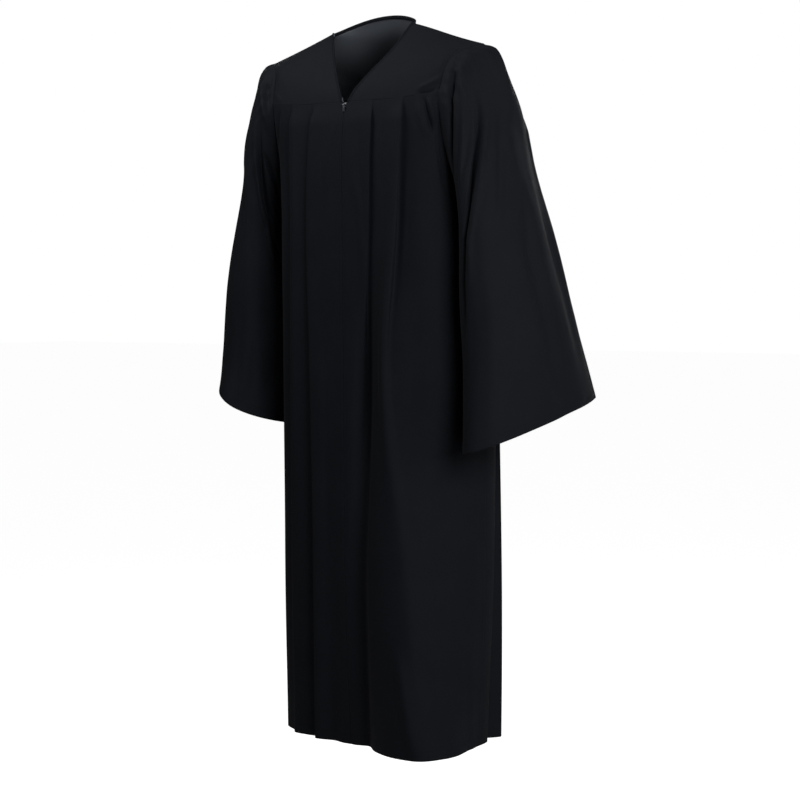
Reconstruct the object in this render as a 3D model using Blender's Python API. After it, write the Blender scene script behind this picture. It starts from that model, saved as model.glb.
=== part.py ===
"""Graduation gown, filled out as if worn: yokes, pleated fronts, fluted back, bell sleeves, concealed zip.

Metres. +X is the wearer's left, +Y the wearer's back, +Z up. The origin lies midway between the two
points where the neckline meets the shoulder seams. A "drop" is a distance straight down from there, and
a "place" is a distance round the body from its centre front or its centre back. Every cloth piece is an
open grid laid on a worked-out surface and extruded to its inner face. Pieces that meet at a seam share
the direction of that step, so their walls stay side by side.
"""

import math

import bmesh
import bpy
import numpy as np
from mathutils import Matrix, Vector

# --- Cloth and seams ------------------------------------------------------------------------------
WALL = 0.0015
SEAM_TRIM = 0.00027  # taken off each edge along a seam, so that the pieces stay apart
ARMHOLE_TRIM = 0.0003
FIT = 0.0003  # between pieces that touch
MOST_SLANT = 1.45  # how much longer than the wall its slanted edge may be

# --- Neck, shoulders and yokes --------------------------------------------------------------------
NECK_HALF = 0.0875
NECK_POINT = (NECK_HALF, -0.015, 0.001)
NAPE = (0.0, 0.037, 0.0315)
NAPE_CURVE = 1.0  # how soon the neckline sinks from the nape towards the shoulders
SHOULDER_TIP = (0.232, 0.0, -0.041)
SHOULDER_RISE = -0.001  # above a straight line, halfway along the ridge
V_FOOT_DROP = 0.150
NOTCH_HALF = 0.0051  # half the width of the V where it crosses the yoke seam
V_POINTS = ((0.0674, -0.0400, -0.0388), (0.0336, -0.0772, -0.0900), (0.0135, -0.0945, -0.1210))
FRONT_SEAM_DROP = 0.139
FRONT_SEAM_END_DROP = 0.133  # at the armhole
BACK_SEAM_DROP = 0.150
BACK_SEAM_END_DROP = 0.146
SEAM_TURN = 0.5  # of the way to the armhole, where the seam starts to turn up
# The directions in which each yoke leaves the shoulder and the nape, and how strongly it meets the seam.
FRONT_LEAVE = (-0.10, -0.75, -0.40)
NAPE_LEAVE = (0, 0.42, -0.62)
SHOULDER_LEAVE = (0.06, 0.75, -0.40)
YOKE_ARRIVE = 0.85
SEAM_PROBE = 0.004  # below the seam, to find the panel's slope there

# --- Armhole and hem ------------------------------------------------------------------------------
FRONT_CORNER_PLACE = 0.187  # where the front yoke seam meets the armhole
BACK_CORNER_PLACE = 0.190
FRONT_ARMHOLE_POINTS = ((0.2060, -0.040, -0.057), (0.1905, -0.060, -0.083))
BACK_ARMHOLE_POINTS = ((0.2080, 0.045, -0.056), (0.1890, 0.098, -0.098))
UNDERARM_DROP = 0.355
HEM_DROP = 1.300
ARMHOLE_MIDDLE = (0.030, -0.190)  # Y and Z
ARMHOLE_LEAN = 0.8  # how far the walls' shared edges lean towards the body along the armhole
OUT_AT_SEAM = 0.2  # of a fold's depth, in the yoke seam itself
OUT_REACH = 0.04
FAN_REACH = 0.35  # below the armhole, over which the panel's side columns spread out evenly

# --- Zip: concealed, so its tapes and coil lie behind the fronts ----------------------------------
TAPE_HALF = 0.012
TAPE_THICK = 0.0008
TAPE_TOP_DROP = 0.1535
TAPE_GAP = 0.0005
COIL_HALF = 0.0016
COIL_THICK = 0.0014
COIL_TOP_DROP = 0.1433
ZIP_BOTTOM_DROP = 0.950
SLIDER_WIDTH = 0.0056
SLIDER_LENGTH = 0.0085
SLIDER_CROWN = 0.0026  # solid, above the coil
SLIDER_PLATE = 0.0007
SLIDER_ROOM = 0.0005  # round the coil
PIVOT_DROP = 0.1446
LUG_WIDTH = 0.0014
LUG_RADIUS = 0.0014
PIN_RADIUS = 0.0005
PIN_LENGTH = 0.0040
KNUCKLE_RADIUS = 0.0014
TAB_WIDTH = 0.0042
TAB_THICK = 0.0009
TAB_LENGTH = 0.0120
ROD_SIDES = 24


def table(columns, *rows):
    """A dict of named numpy columns."""
    return dict(zip(columns.split(), np.array(rows, float).T))


BODY_RINGS = table(
    "drop   half_width  y_front  y_side  y_back  full_left  full_right  full_back",
    (0.130, 0.2200, -0.0985, 0.030, 0.163, 0.88, 0.88, 0.80),
    (0.180, 0.2140, -0.1080, 0.038, 0.178, 0.84, 0.80, 0.78),
    (0.250, 0.2080, -0.1110, 0.046, 0.188, 0.82, 0.74, 0.70),
    (0.360, 0.2050, -0.1095, 0.050, 0.190, 0.80, 0.74, 0.66),
    (0.600, 0.2050, -0.1065, 0.050, 0.188, 0.77, 0.70, 0.62),
    (0.950, 0.2035, -0.1030, 0.050, 0.186, 0.74, 0.64, 0.62),
    (1.300, 0.1970, -0.0820, 0.042, 0.184, 0.84, 0.62, 0.62),
)

STATION_NAMES = ("yoke", "chest", "waist", "knee", "hem")
STATIONS = np.array([0.14, 0.36, 0.60, 0.95, 1.30])  # their drops
FOLD_COLUMNS = (
    "at_yoke at_chest at_waist at_knee at_hem  out_yoke out_chest out_waist out_knee out_hem"
)

FRONT_LEFT_FOLDS = table(
    FOLD_COLUMNS,
    # zip edge, then the corner of the V's notch
    (0.0000, 0.000, 0.000, 0.000, 0.000, 0.000, 0.000, 0.000, 0.000, 0.000),
    (NOTCH_HALF, 0.0125, 0.0125, 0.0125, 0.0125, 0.000, 0.000, 0.000, 0.000, 0.002),
    # centre band
    (0.0350, 0.030, 0.019, 0.014, 0.015, 0.002, 0.001, 0.000, 0.000, 0.002),
    # first pleat: its fold, the underlay beside it and the next band
    (0.0600, 0.053, 0.034, 0.026, 0.028, 0.004, 0.003, -0.002, 0.001, 0.006),
    (0.0640, 0.058, 0.044, 0.038, 0.042, -0.002, -0.005, -0.011, 0.004, 0.012),
    (0.0950, 0.084, 0.070, 0.098, 0.118, 0.001, 0.001, -0.001, 0.035, 0.053),
    # second pleat, which becomes the gown's large ridge
    (0.1220, 0.110, 0.092, 0.126, 0.150, 0.006, 0.010, 0.019, 0.040, 0.061),
    (0.1260, 0.117, 0.108, 0.150, 0.178, -0.003, -0.006, 0.011, 0.029, 0.042),
    # broad side panel
    (0.1550, 0.158, 0.164, 0.188, 0.216, 0.000, 0.001, 0.004, 0.010, 0.014),
    (FRONT_CORNER_PLACE, 0.185, 0.206, 0.228, 0.248, 0.000, 0.002, 0.003, 0.004, 0.004),
)

FRONT_RIGHT_FOLDS = table(
    FOLD_COLUMNS,
    (0.0000, 0.000, 0.000, 0.000, 0.000, 0.000, 0.000, 0.000, 0.000, 0.000),
    (NOTCH_HALF, 0.0125, 0.0125, 0.0125, 0.0125, 0.000, 0.000, 0.000, 0.000, 0.000),
    (0.0400, 0.044, 0.040, 0.036, 0.040, 0.002, 0.002, 0.002, -0.001, -0.004),
    # first pleat
    (0.0680, 0.078, 0.075, 0.069, 0.080, 0.004, 0.005, 0.006, 0.007, 0.008),
    (0.0720, 0.083, 0.081, 0.077, 0.089, -0.002, -0.003, -0.004, -0.005, -0.005),
    (0.0980, 0.102, 0.104, 0.102, 0.112, 0.001, 0.001, 0.001, 0.002, 0.002),
    # second pleat
    (0.1220, 0.124, 0.128, 0.132, 0.140, 0.004, 0.006, 0.008, 0.010, 0.012),
    (0.1260, 0.130, 0.136, 0.144, 0.156, -0.002, -0.003, -0.002, 0.001, 0.005),
    (0.1550, 0.158, 0.168, 0.182, 0.198, 0.000, 0.001, 0.003, 0.007, 0.012),
    (FRONT_CORNER_PLACE, 0.185, 0.204, 0.222, 0.238, 0.000, 0.001, 0.002, 0.005, 0.009),
)

# --- Back flutes, from the centre back outwards ---------------------------------------------------
FLUTES_A_SIDE = 5
FLUTE_OUT = (0.003, 0.007, 0.010, 0.014, 0.018)  # at each station
FLUTE_VALLEY = 0.8  # a valley's depth to a crest's height
FLUTE_UNEVEN = 0.30  # how much the flutes' depths differ
FLUTE_SHIFT = 0.010  # sideways, as a share of the panel
DEPTH_BEAT = 2.3  # radians from flute to flute, so that no two neighbours match
SIDE_BEAT = 0.8
SHIFT_BEAT = 1.7
FLUTE_REACH = (0.186, 0.213, 0.230, 0.242)  # places of the outermost flute, at each station below the seam

# --- Sleeve, wearer's left; the other mirrors it with its own hem row -----------------------------
SLEEVE_COLUMNS = "outer_x outer_drop inner_x inner_drop y_mid front back pitch"
SLEEVE_SHARES = (0.0, 0.05, 0.12, 0.28, 0.52, 0.76, 1.0)  # of the sleeve's length, one for each row
SLEEVE_TOP = (
    (0.2320, 0.041, 0.2050, 0.355, 0.028, 0.100, 0.100, 0.00),
    (0.2590, 0.053, 0.2080, 0.368, 0.020, 0.102, 0.098, 0.00),
    (0.2720, 0.100, 0.2070, 0.390, 0.018, 0.103, 0.096, 0.00),
    (0.2820, 0.205, 0.2020, 0.445, 0.025, 0.106, 0.100, 0.02),
    (0.3180, 0.370, 0.1960, 0.530, 0.038, 0.126, 0.124, 0.06),
    (0.3420, 0.530, 0.1960, 0.635, 0.062, 0.150, 0.158, 0.12),
)
SLEEVE_HEM_LEFT = (0.3550, 0.700, 0.1990, 0.745, 0.082, 0.188, 0.203, 0.19)
SLEEVE_HEM_RIGHT = (0.3480, 0.650, 0.1990, 0.736, 0.082, 0.188, 0.188, -0.02)
SLEEVE_CLEAR = 0.0045  # from the sleeve's outer face to the body's
CLEAR_SOFTNESS = 0.004
CLEAR_REACH = 0.10  # past the armhole, as a share of its size, over which that distance is reached
CLEAR_START = 0.02
SLEEVE_NEAR = 0.02  # cloth further off than this needs no moving
SEAM_LEAD = 0.005
UNDER_BLEND = 0.10  # turns
ARMHOLE_SHARE = 0.22  # of the sleeve's length, over which the armhole's outline fades

SLEEVE_FOLD_COLUMNS = "at_cap at_hem width_cap width_hem out_cap out_elbow out_hem"
SLEEVE_FOLDS = table(
    SLEEVE_FOLD_COLUMNS,
    # turns round the sleeve from its top line, forwards: two valleys with a ridge between, then a soft one
    (0.235, 0.290, 0.045, 0.050, -0.010, -0.006, 0.000),
    (0.190, 0.245, 0.030, 0.045, 0.006, 0.005, 0.000),
    (0.145, 0.205, 0.040, 0.060, -0.010, -0.009, -0.001),
    (0.050, 0.080, 0.050, 0.080, 0.002, -0.005, -0.005),
    (0.820, 0.800, 0.050, 0.070, -0.008, -0.007, -0.002),
    (0.880, 0.900, 0.040, 0.070, 0.006, 0.006, 0.003),
)
SLEEVE_FOLD_SHARES = (0, 0.12, 0.5, 1.0)  # of the sleeve's length: seam, cap, elbow, hem
GATHERS = 9
CAP_SPLITS = 3  # sleeve columns to each edge of a yoke's armhole
GATHER_SPAN = (-0.20, 0.20)  # turns, from behind the shoulder to before it
GATHER_OUT = 0.0028
GATHER_FADE = 0.24  # of the sleeve's length
GATHER_START = 0.03  # of the sleeve's length, and of a turn at the span's ends

# --- Grid fineness --------------------------------------------------------------------------------
FOLD_STEP = 0.017
FLUTE_STEP = 0.011
ARMHOLE_COLUMNS = 7
PANEL_ROWS = 20
PANEL_CROWDING = 1.2  # rows lie closer together near the yoke seam
YOKE_ROWS = 7
NECK_SHARE = 0.45  # of the back yoke's columns
SLEEVE_ROWS = 14
SLEEVE_CROWDING = 1.15  # rows lie closer together near the armhole
CURVE_STEPS = 48

STEPS = np.linspace(0, 1, CURVE_STEPS + 1)
TINY = 1e-9
PROBE = 1e-4  # in a curve's own parameter, to find its direction


def bernstein(t):
    return np.stack([(1 - t) ** 3, 3 * (1 - t) ** 2 * t, 3 * (1 - t) * t**2, t**3], -1)


def smooth(t):
    t = np.clip(t, 0, 1)
    return t * t * (3 - 2 * t)


def slopes(nodes, values):
    """Slopes at the nodes of a curve that never overshoots them, along the last axis."""
    rise = np.diff(values) / np.maximum(np.diff(nodes), TINY)
    before, after = rise[..., :-1], rise[..., 1:]
    both = before + after
    inner = np.where(before * after > 0, 2 * before * after / np.where(both == 0, 1, both), 0)
    return np.concatenate([rise[..., :1], inner, rise[..., -1:]], -1)


def hermite(t, span, start, end, slope_start, slope_end):
    t2, t3 = t * t, t * t * t
    return (
        (2 * t3 - 3 * t2 + 1) * start
        + (t3 - 2 * t2 + t) * span * slope_start
        + (3 * t2 - 2 * t3) * end
        + (t3 - t2) * span * slope_end
    )


def flow(nodes, values, at):
    """Values between rising nodes, read at `at`. Several rows of `values` give several columns."""
    nodes, values, at = np.asarray(nodes, float), np.asarray(values, float), np.asarray(at, float)
    at = np.clip(at, nodes[0], nodes[-1])
    k = np.clip(np.searchsorted(nodes, at, side="right") - 1, 0, len(nodes) - 2)
    span = nodes[k + 1] - nodes[k]
    slope = slopes(nodes, values)
    curve = hermite(
        (at - nodes[k]) / span,
        span,
        values[..., k],
        values[..., k + 1],
        slope[..., k],
        slope[..., k + 1],
    )
    return np.moveaxis(curve, 0, -1) if values.ndim > 1 else curve


# --- The body's rings -----------------------------------------------------------------------------


def ring_cage(drop, back, side):
    """Control points of the quarter ring, from its centre line to its side, as (n, 4) arrays of X and Y."""
    ring = {name: flow(BODY_RINGS["drop"], column, drop) for name, column in BODY_RINGS.items()}
    end = ring["y_back" if back else "y_front"]
    full = ring["full_back" if back else ("full_left" if side > 0 else "full_right")]
    width, y_side = ring["half_width"], ring["y_side"]
    x = np.stack([0 * width, full * width, width, width], -1)
    y = np.stack([end, end, y_side + full * (end - y_side), y_side], -1)
    return x, y


def ring_lengths(x, y):
    """Lengths along the quarter ring at each of STEPS, as (n, steps)."""
    base = bernstein(STEPS).T
    run = np.hypot(np.diff(x @ base), np.diff(y @ base))
    return np.concatenate([np.zeros(run.shape[:-1] + (1,)), np.cumsum(run, -1)], -1)


def ring_length(drop, back, side):
    return ring_lengths(*ring_cage(np.atleast_1d(drop), back, side))[..., -1]


def body_point(place, drop, out, back, side):
    """Points on the body `place` metres from its centre line, moved `out` along the ring's normal."""
    place, drop, out = np.broadcast_arrays(*(np.asarray(a, float) for a in (place, drop, out)))
    shape = place.shape
    place, drop, out = place.ravel(), drop.ravel(), out.ravel()
    x, y = ring_cage(drop, back, side)
    lengths = ring_lengths(x, y)
    place = np.clip(place, 0, lengths[:, -1])
    k = np.clip((lengths <= place[:, None]).sum(-1) - 1, 0, CURVE_STEPS - 1)
    rows = np.arange(len(place))
    start, end = lengths[rows, k], lengths[rows, k + 1]
    t = (k + (place - start) / (end - start)) / CURVE_STEPS
    base = bernstein(t)
    speed = bernstein(np.clip(t + PROBE, 0, 1)) - bernstein(np.clip(t - PROBE, 0, 1))
    along = np.stack([(x * speed).sum(-1), (y * speed).sum(-1)])
    along /= np.hypot(*along)
    normal = np.stack([-along[1], along[0]]) if back else np.stack([along[1], -along[0]])
    px = (x * base).sum(-1) + normal[0] * out
    py = (y * base).sum(-1) + normal[1] * out
    return np.stack([side * px, py, -drop], -1).reshape(shape + (3,))


# --- Seams and edges ------------------------------------------------------------------------------


def run_along(points):
    """The length of a polyline up to each of its points."""
    return np.concatenate([[0], np.cumsum(np.linalg.norm(np.diff(points, axis=0), axis=1))])


def along(points, shares):
    """Points at the given shares of a polyline's length."""
    run = run_along(points)
    return np.stack([np.interp(shares * run[-1], run, column) for column in points.T], -1)


def curve_through(points, steps=24):
    """A smooth polyline through a few points."""
    points = np.asarray(points, float)
    run = run_along(points)
    return flow(run, points.T, np.linspace(0, run[-1], steps * (len(points) - 1) + 1)).reshape(-1, 3)


def mirrored(points, side):
    return np.asarray(points, float) * (side, 1, 1)


def seam_drop(place, back):
    """The drop of the yoke seam, which turns up a little towards the armhole."""
    middle, end, corner = (
        (BACK_SEAM_DROP, BACK_SEAM_END_DROP, BACK_CORNER_PLACE)
        if back
        else (FRONT_SEAM_DROP, FRONT_SEAM_END_DROP, FRONT_CORNER_PLACE)
    )
    share = np.asarray(place, float) / corner
    return middle + (end - middle) * smooth((share - SEAM_TURN) / (1 - SEAM_TURN))


def v_edge():
    """The neckline's front edge, wearer's left, from the neck point down to the yoke seam."""
    return curve_through(
        [
            NECK_POINT,
            *V_POINTS,
            body_point(NOTCH_HALF, FRONT_SEAM_DROP, 0, False, 1),
        ]
    )


def neck_arc(shares):
    """The neckline's back edge, wearer's left, from the nape to the neck point."""
    turn = np.asarray(shares) * math.pi / 2
    rise = np.cos(turn) ** NAPE_CURVE
    return np.stack(
        [
            NECK_POINT[0] * np.sin(turn),
            NECK_POINT[1] + (NAPE[1] - NECK_POINT[1]) * np.cos(turn),
            NECK_POINT[2] + (NAPE[2] - NECK_POINT[2]) * rise,
        ],
        -1,
    )


def shoulder_seam(shares):
    """The shoulder ridge, wearer's left, from the neck point to the shoulder tip."""
    shares = np.asarray(shares, float)[:, None]
    ridge = np.array(NECK_POINT) * (1 - shares) + np.array(SHOULDER_TIP) * shares
    ridge[:, 2] += SHOULDER_RISE * 4 * (shares * (1 - shares))[:, 0]
    return ridge


def armhole_corner(back):
    """(place, drop) where the yoke seam meets the armhole."""
    if back:
        return BACK_CORNER_PLACE, BACK_SEAM_END_DROP
    return FRONT_CORNER_PLACE, FRONT_SEAM_END_DROP


def armhole_place(drop, back, side):
    """How far round the body the armhole lies: a quarter oval, and the side seam below the underarm."""
    corner, top = armhole_corner(back)
    share = corner / ring_length(np.array([top]), back, side)[0]
    turn = np.arcsin(np.clip((drop - top) / (UNDERARM_DROP - top), 0, 1))
    return ring_length(drop.ravel(), back, side).reshape(drop.shape) * (1 - (1 - share) * np.cos(turn))


def armhole_under(back, side, shares):
    """(place, drop) along the panel's own part of the armhole, from the yoke's corner to the side seam."""
    top = armhole_corner(back)[1]
    drop = top + (UNDERARM_DROP - top) * np.sin(np.asarray(shares, float) * math.pi / 2)
    return armhole_place(drop, back, side), drop


def armhole_yoke(back, side):
    """The yoke's part of the armhole, from the shoulder tip down to its corner."""
    place, drop = armhole_under(back, 1, np.zeros(1))
    corner = body_point(place, drop, 0, back, 1)[0]
    between = BACK_ARMHOLE_POINTS if back else FRONT_ARMHOLE_POINTS
    return mirrored(curve_through([SHOULDER_TIP, *between, corner]), side)


def armhole(side):
    """The armhole's corners and turns, from the shoulder tip forwards, under the arm and up the back."""
    halves = []
    for back in (False, True):
        place, drop = armhole_under(back, side, np.linspace(0, 1, ARMHOLE_COLUMNS + 1)[1:])
        yoke = along(armhole_yoke(back, side), np.linspace(0, 1, YOKE_ROWS))
        half = np.concatenate([yoke, body_point(place, drop, 0, back, side)])
        run = run_along(half)
        halves.append((run / run[-1] / 2, half))
    (front_turns, front), (back_turns, rear) = halves
    turns = np.concatenate([front_turns, 1 - back_turns[-2::-1]])
    return turns, np.concatenate([front, rear[-2::-1]])


def armhole_inward(points, side):
    """The direction in which every piece that meets at the armhole thickens there."""
    inward = (*ARMHOLE_MIDDLE,) - points[..., 1:]
    inward /= np.linalg.norm(inward, axis=-1, keepdims=True)
    lean = np.full(points.shape[:-1] + (1,), -side * ARMHOLE_LEAN)
    return np.concatenate([lean, inward], -1) / math.hypot(1, ARMHOLE_LEAN)


def ring_inward(place, drop, back, side):
    """The level direction in which yokes and panels thicken along the seam between them."""
    return body_point(place, drop, -1, back, side) - body_point(place, drop, 0, back, side)


# --- Panels ---------------------------------------------------------------------------------------


def trimmed(points, top=0, bottom=0, start=0, end=0):
    """A grid of points with its edge rows and columns drawn in by these distances along the surface."""
    points = points.copy()
    for edge, beside, distance in (
        (np.s_[0], np.s_[1], top),
        (np.s_[-1], np.s_[-2], bottom),
        (np.s_[:, 0], np.s_[:, 1], start),
        (np.s_[:, -1], np.s_[:, -2], end),
    ):
        step = points[beside] - points[edge]
        points[edge] += step * distance / np.linalg.norm(step, axis=-1, keepdims=True)
    return points


def fold_index(folds, step):
    """Grid columns as places in the fold table: row 2.5 is halfway between its rows 2 and 3."""
    gaps = np.diff(folds["at_waist"])
    counts = np.maximum(1, np.round(gaps / step)).astype(int)
    pieces = [np.linspace(k, k + 1, n, endpoint=False) for k, n in enumerate(counts)]
    return np.concatenate([*pieces, [len(gaps)]])


def seam_places(folds, step):
    """Where a panel's columns meet the yoke seam."""
    index = fold_index(folds, step)
    return np.interp(index, np.arange(len(folds["at_yoke"])), folds["at_yoke"])


def panel(folds, back, side, step):
    """Half a body panel, with the directions that its edges share with their neighbours.

    Rows run from the top edge down to the hem, columns from the centre line to the side seam.
    """
    index = fold_index(folds, step)
    shares = np.linspace(0, 1, ARMHOLE_COLUMNS + 1)[1:]
    last = len(folds["at_yoke"]) - 1
    k = np.concatenate([np.minimum(index.astype(int), last - 1), np.full(len(shares), last)])
    part = np.concatenate([index - k[: len(index)], shares])

    # The top edge: the yoke seam, with the V's notch at the front, and then the armhole.
    top_place = seam_places(folds, step)
    top_drop = seam_drop(top_place, back)
    if not back:
        top_drop += (V_FOOT_DROP - FRONT_SEAM_DROP) * np.clip(1 - top_place / NOTCH_HALF, 0, 1)
    arm_drop = armhole_under(back, side, shares)[1]
    top_drop = np.concatenate([top_drop, arm_drop])

    low = np.linspace(0, 1, PANEL_ROWS) ** PANEL_CROWDING
    drop = top_drop + (HEM_DROP - top_drop) * low[:, None]

    # Where the folds and the side seam lie at each point's own drop.
    nodes = flow(STATIONS, np.stack([folds[f"at_{s}"] for s in STATION_NAMES]).T, drop)
    outs = flow(STATIONS, np.stack([folds[f"out_{s}"] for s in STATION_NAMES]).T, drop)
    length = ring_length(drop.ravel(), back, side).reshape(drop.shape)
    nodes = np.concatenate([nodes, length[..., None]], -1)
    outs = np.concatenate([outs, np.zeros(drop.shape + (1,))], -1)

    pick = np.broadcast_to(k, drop.shape)[..., None]
    start, end = (np.take_along_axis(nodes, pick + n, -1)[..., 0] for n in (0, 1))
    place = start + (end - start) * part
    fan = np.s_[:, len(index) :]
    settle = smooth((drop[fan] - arm_drop) / FAN_REACH)
    room = (end - start)[fan]
    edge = (armhole_place(arm_drop, back, side) - start[0, len(index) :]) / room[0]
    place[fan] = start[fan] + room * (edge + (shares - edge) * settle)
    slope = slopes(nodes, outs)
    slope[..., [0, -1]] = 0
    out = hermite(
        np.clip((place - start) / (end - start), 0, 1),
        end - start,
        *(np.take_along_axis(outs, pick + n, -1)[..., 0] for n in (0, 1)),
        *(np.take_along_axis(slope, pick + n, -1)[..., 0] for n in (0, 1)),
    )
    at_seam = np.where(np.arange(drop.shape[1]) < len(index) - 1, OUT_AT_SEAM, 0)
    out *= at_seam + (1 - at_seam) * smooth((drop - top_drop) / OUT_REACH)
    out[fan] *= 1 - shares * (1 - settle)
    shared = np.full(drop.shape + (3,), np.nan)
    shared[0] = ring_inward(place[0], drop[0], back, side)
    shared[:, -1] = (-side, 0, 0)
    if not back:
        shared[:, 0] = (0, 1, 0)

    # The armhole's edge is drawn in square to itself.
    edge = np.s_[0, len(index) - 1 :]
    rise, run = np.gradient(drop[edge]), np.gradient(place[edge])
    length = np.hypot(rise, run)
    place[edge] -= ARMHOLE_TRIM * rise / length
    drop[edge] += ARMHOLE_TRIM * run / length
    points = body_point(place, drop, out, back, side)
    shared[edge] = armhole_inward(points[edge], side)
    return points, shared


def back_folds(side):
    """Even flutes across the back yoke seam that open downwards, each a little different."""
    count = 2 * FLUTES_A_SIDE
    rows = []
    for n in range(count + 1):
        share = n / count
        uneven = 1 + FLUTE_UNEVEN * math.sin(DEPTH_BEAT * n + SIDE_BEAT * side)
        crest = 1 if n % 2 == 0 else -FLUTE_VALLEY
        shift = FLUTE_SHIFT * math.sin(SHIFT_BEAT * n + side) if 0 < n < count else 0
        places = [BACK_CORNER_PLACE * share]
        places += [reach * (share + shift) for reach in FLUTE_REACH]
        rows.append((*places, *(crest * uneven * out for out in FLUTE_OUT)))
    rows[0] = (*rows[0][:5], *FLUTE_OUT)  # the same on both sides of the centre back
    rows[-1] = (*rows[-1][:5], *np.zeros(len(FLUTE_OUT)))
    return table(FOLD_COLUMNS, *rows)


def yoke_front(side, place):
    """Columns from the V's edge to the armhole, rows from the shoulder down to the yoke seam at `place`."""
    across = (place - NOTCH_HALF) / (FRONT_CORNER_PLACE - NOTCH_HALF)
    top = shoulder_seam(across)
    surface = yoke_surface(top, place, False, FRONT_LEAVE)
    rows = np.linspace(0, 1, YOKE_ROWS)
    v_fix = along(v_edge(), rows)[:, None] - surface[:, :1]
    arm_fix = along(armhole_yoke(False, 1), rows)[:, None] - surface[:, -1:]
    across = across[None, :, None]
    points = mirrored(surface + v_fix * (1 - across) ** 2 + arm_fix * across**2, side)
    return points, yoke_shared(points, place, np.ones(len(place), bool), False, side)


def yoke_back(side, place):
    """Half the back yoke: columns from centre back to armhole, rows from neck and shoulder to the seam."""
    count = len(place)
    neck_count = round(NECK_SHARE * count)
    neck = neck_arc(np.linspace(0, 1, neck_count))
    shoulder = shoulder_seam(np.linspace(0, 1, count - neck_count + 1)[1:])
    share = np.linspace(0, 1, count)[:, None]
    leave = np.array(NAPE_LEAVE) * (1 - share) + np.array(SHOULDER_LEAVE) * share
    surface = yoke_surface(np.concatenate([neck, shoulder]), place, True, leave)
    arm_fix = along(armhole_yoke(True, 1), np.linspace(0, 1, YOKE_ROWS))[:, None] - surface[:, -1:]
    points = mirrored(surface + arm_fix * share**3, side)
    return points, yoke_shared(points, place, np.arange(count) >= neck_count - 1, True, side)


def yoke_surface(top, place, back, leave):
    """A curved sheet from the top edge, which it leaves along `leave`, to the yoke seam at `place`."""
    drop = seam_drop(place, back)
    bottom = body_point(place, drop, 0, back, 1)
    below = body_point(place, drop + SEAM_PROBE, 0, back, 1) - bottom
    below /= np.linalg.norm(below, axis=-1, keepdims=True)
    reach = np.linalg.norm(bottom - top, axis=-1, keepdims=True)
    down = np.linspace(0, 1, YOKE_ROWS)[:, None, None]
    return hermite(down, 1, top, bottom, reach * leave, reach * YOKE_ARRIVE * below)


def yoke_shared(points, place, on_shoulder, back, side):
    """The directions that a yoke's edges share with its neighbours."""
    ridge = np.array(SHOULDER_TIP) - NECK_POINT
    down = np.cross(np.cross(ridge, (0, 0, -1)), ridge)
    shared = np.full(points.shape, np.nan)
    shared[0, on_shoulder] = mirrored(down / np.linalg.norm(down), side)
    shared[-1] = ring_inward(place, seam_drop(place, back), back, side)
    shared[:, -1] = armhole_inward(points[:, -1], side)
    return shared


# --- Sleeves --------------------------------------------------------------------------------------


def past_armhole(place, drop, back, side):
    """How far a place on the body lies outside its armhole, as a share of the armhole's size."""
    corner, top = armhole_corner(back)
    length = ring_length(drop, back, side)
    share = corner / ring_length(np.array([top]), back, side)[0]
    across = np.clip((1 - place / length) / (1 - share), 0, None)
    down = np.clip((drop - top) / (UNDERARM_DROP - top), 0, None)
    return np.hypot(across, down) - 1


def clear_of_body(points, side):
    """The sleeve's points moved out, level, until they are SLEEVE_CLEAR from the body beside them."""
    flat = mirrored(points, side).reshape(-1, 3)
    drop = -flat[:, 2]
    rows = np.arange(len(flat))
    for back in (False, True):
        x, y = ring_cage(drop, back, side)
        ring_x, ring_y = x @ bernstein(STEPS).T, y @ bernstein(STEPS).T
        near = np.hypot(ring_x - flat[:, :1], ring_y - flat[:, 1:2]).argmin(-1)
        near = np.clip(near, 1, CURVE_STEPS - 1)
        run_x = ring_x[rows, near + 1] - ring_x[rows, near - 1]
        run_y = ring_y[rows, near + 1] - ring_y[rows, near - 1]
        normal = np.stack([-run_y, run_x] if back else [run_y, -run_x]) / np.hypot(run_x, run_y)
        from_ring = np.stack([flat[:, 0] - ring_x[rows, near], flat[:, 1] - ring_y[rows, near]])
        depth = (from_ring * normal).sum(0)
        past = past_armhole(ring_lengths(x, y)[rows, near], drop, back, side)
        short = SLEEVE_CLEAR * smooth(past / CLEAR_REACH) - depth
        this_half = (flat[:, 1] > y[:, 3]) == back
        push = 0.5 * (short + np.hypot(short, CLEAR_SOFTNESS)) * this_half
        push *= np.clip(past / CLEAR_START, 0, 1) * (short > -SLEEVE_NEAR)
        flat = flat + np.stack([normal[0] * push, normal[1] * push, 0 * push], -1)
    return mirrored(flat.reshape(points.shape), side)


def sleeve_turns(side):
    """Turns of the sleeve's columns: the armhole's corners, and CAP_SPLITS to each of a yoke's edges."""
    corners = armhole(side)[0]
    ends = list(zip(corners[:-1], corners[1:]))
    on_yoke = [n < YOKE_ROWS - 1 or n > len(ends) - YOKE_ROWS for n in range(len(ends))]
    pieces = [
        np.linspace(start, end, CAP_SPLITS if cap else 1, endpoint=False)
        for (start, end), cap in zip(ends, on_yoke)
    ]
    return np.concatenate([*pieces, [1.0]])


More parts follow.
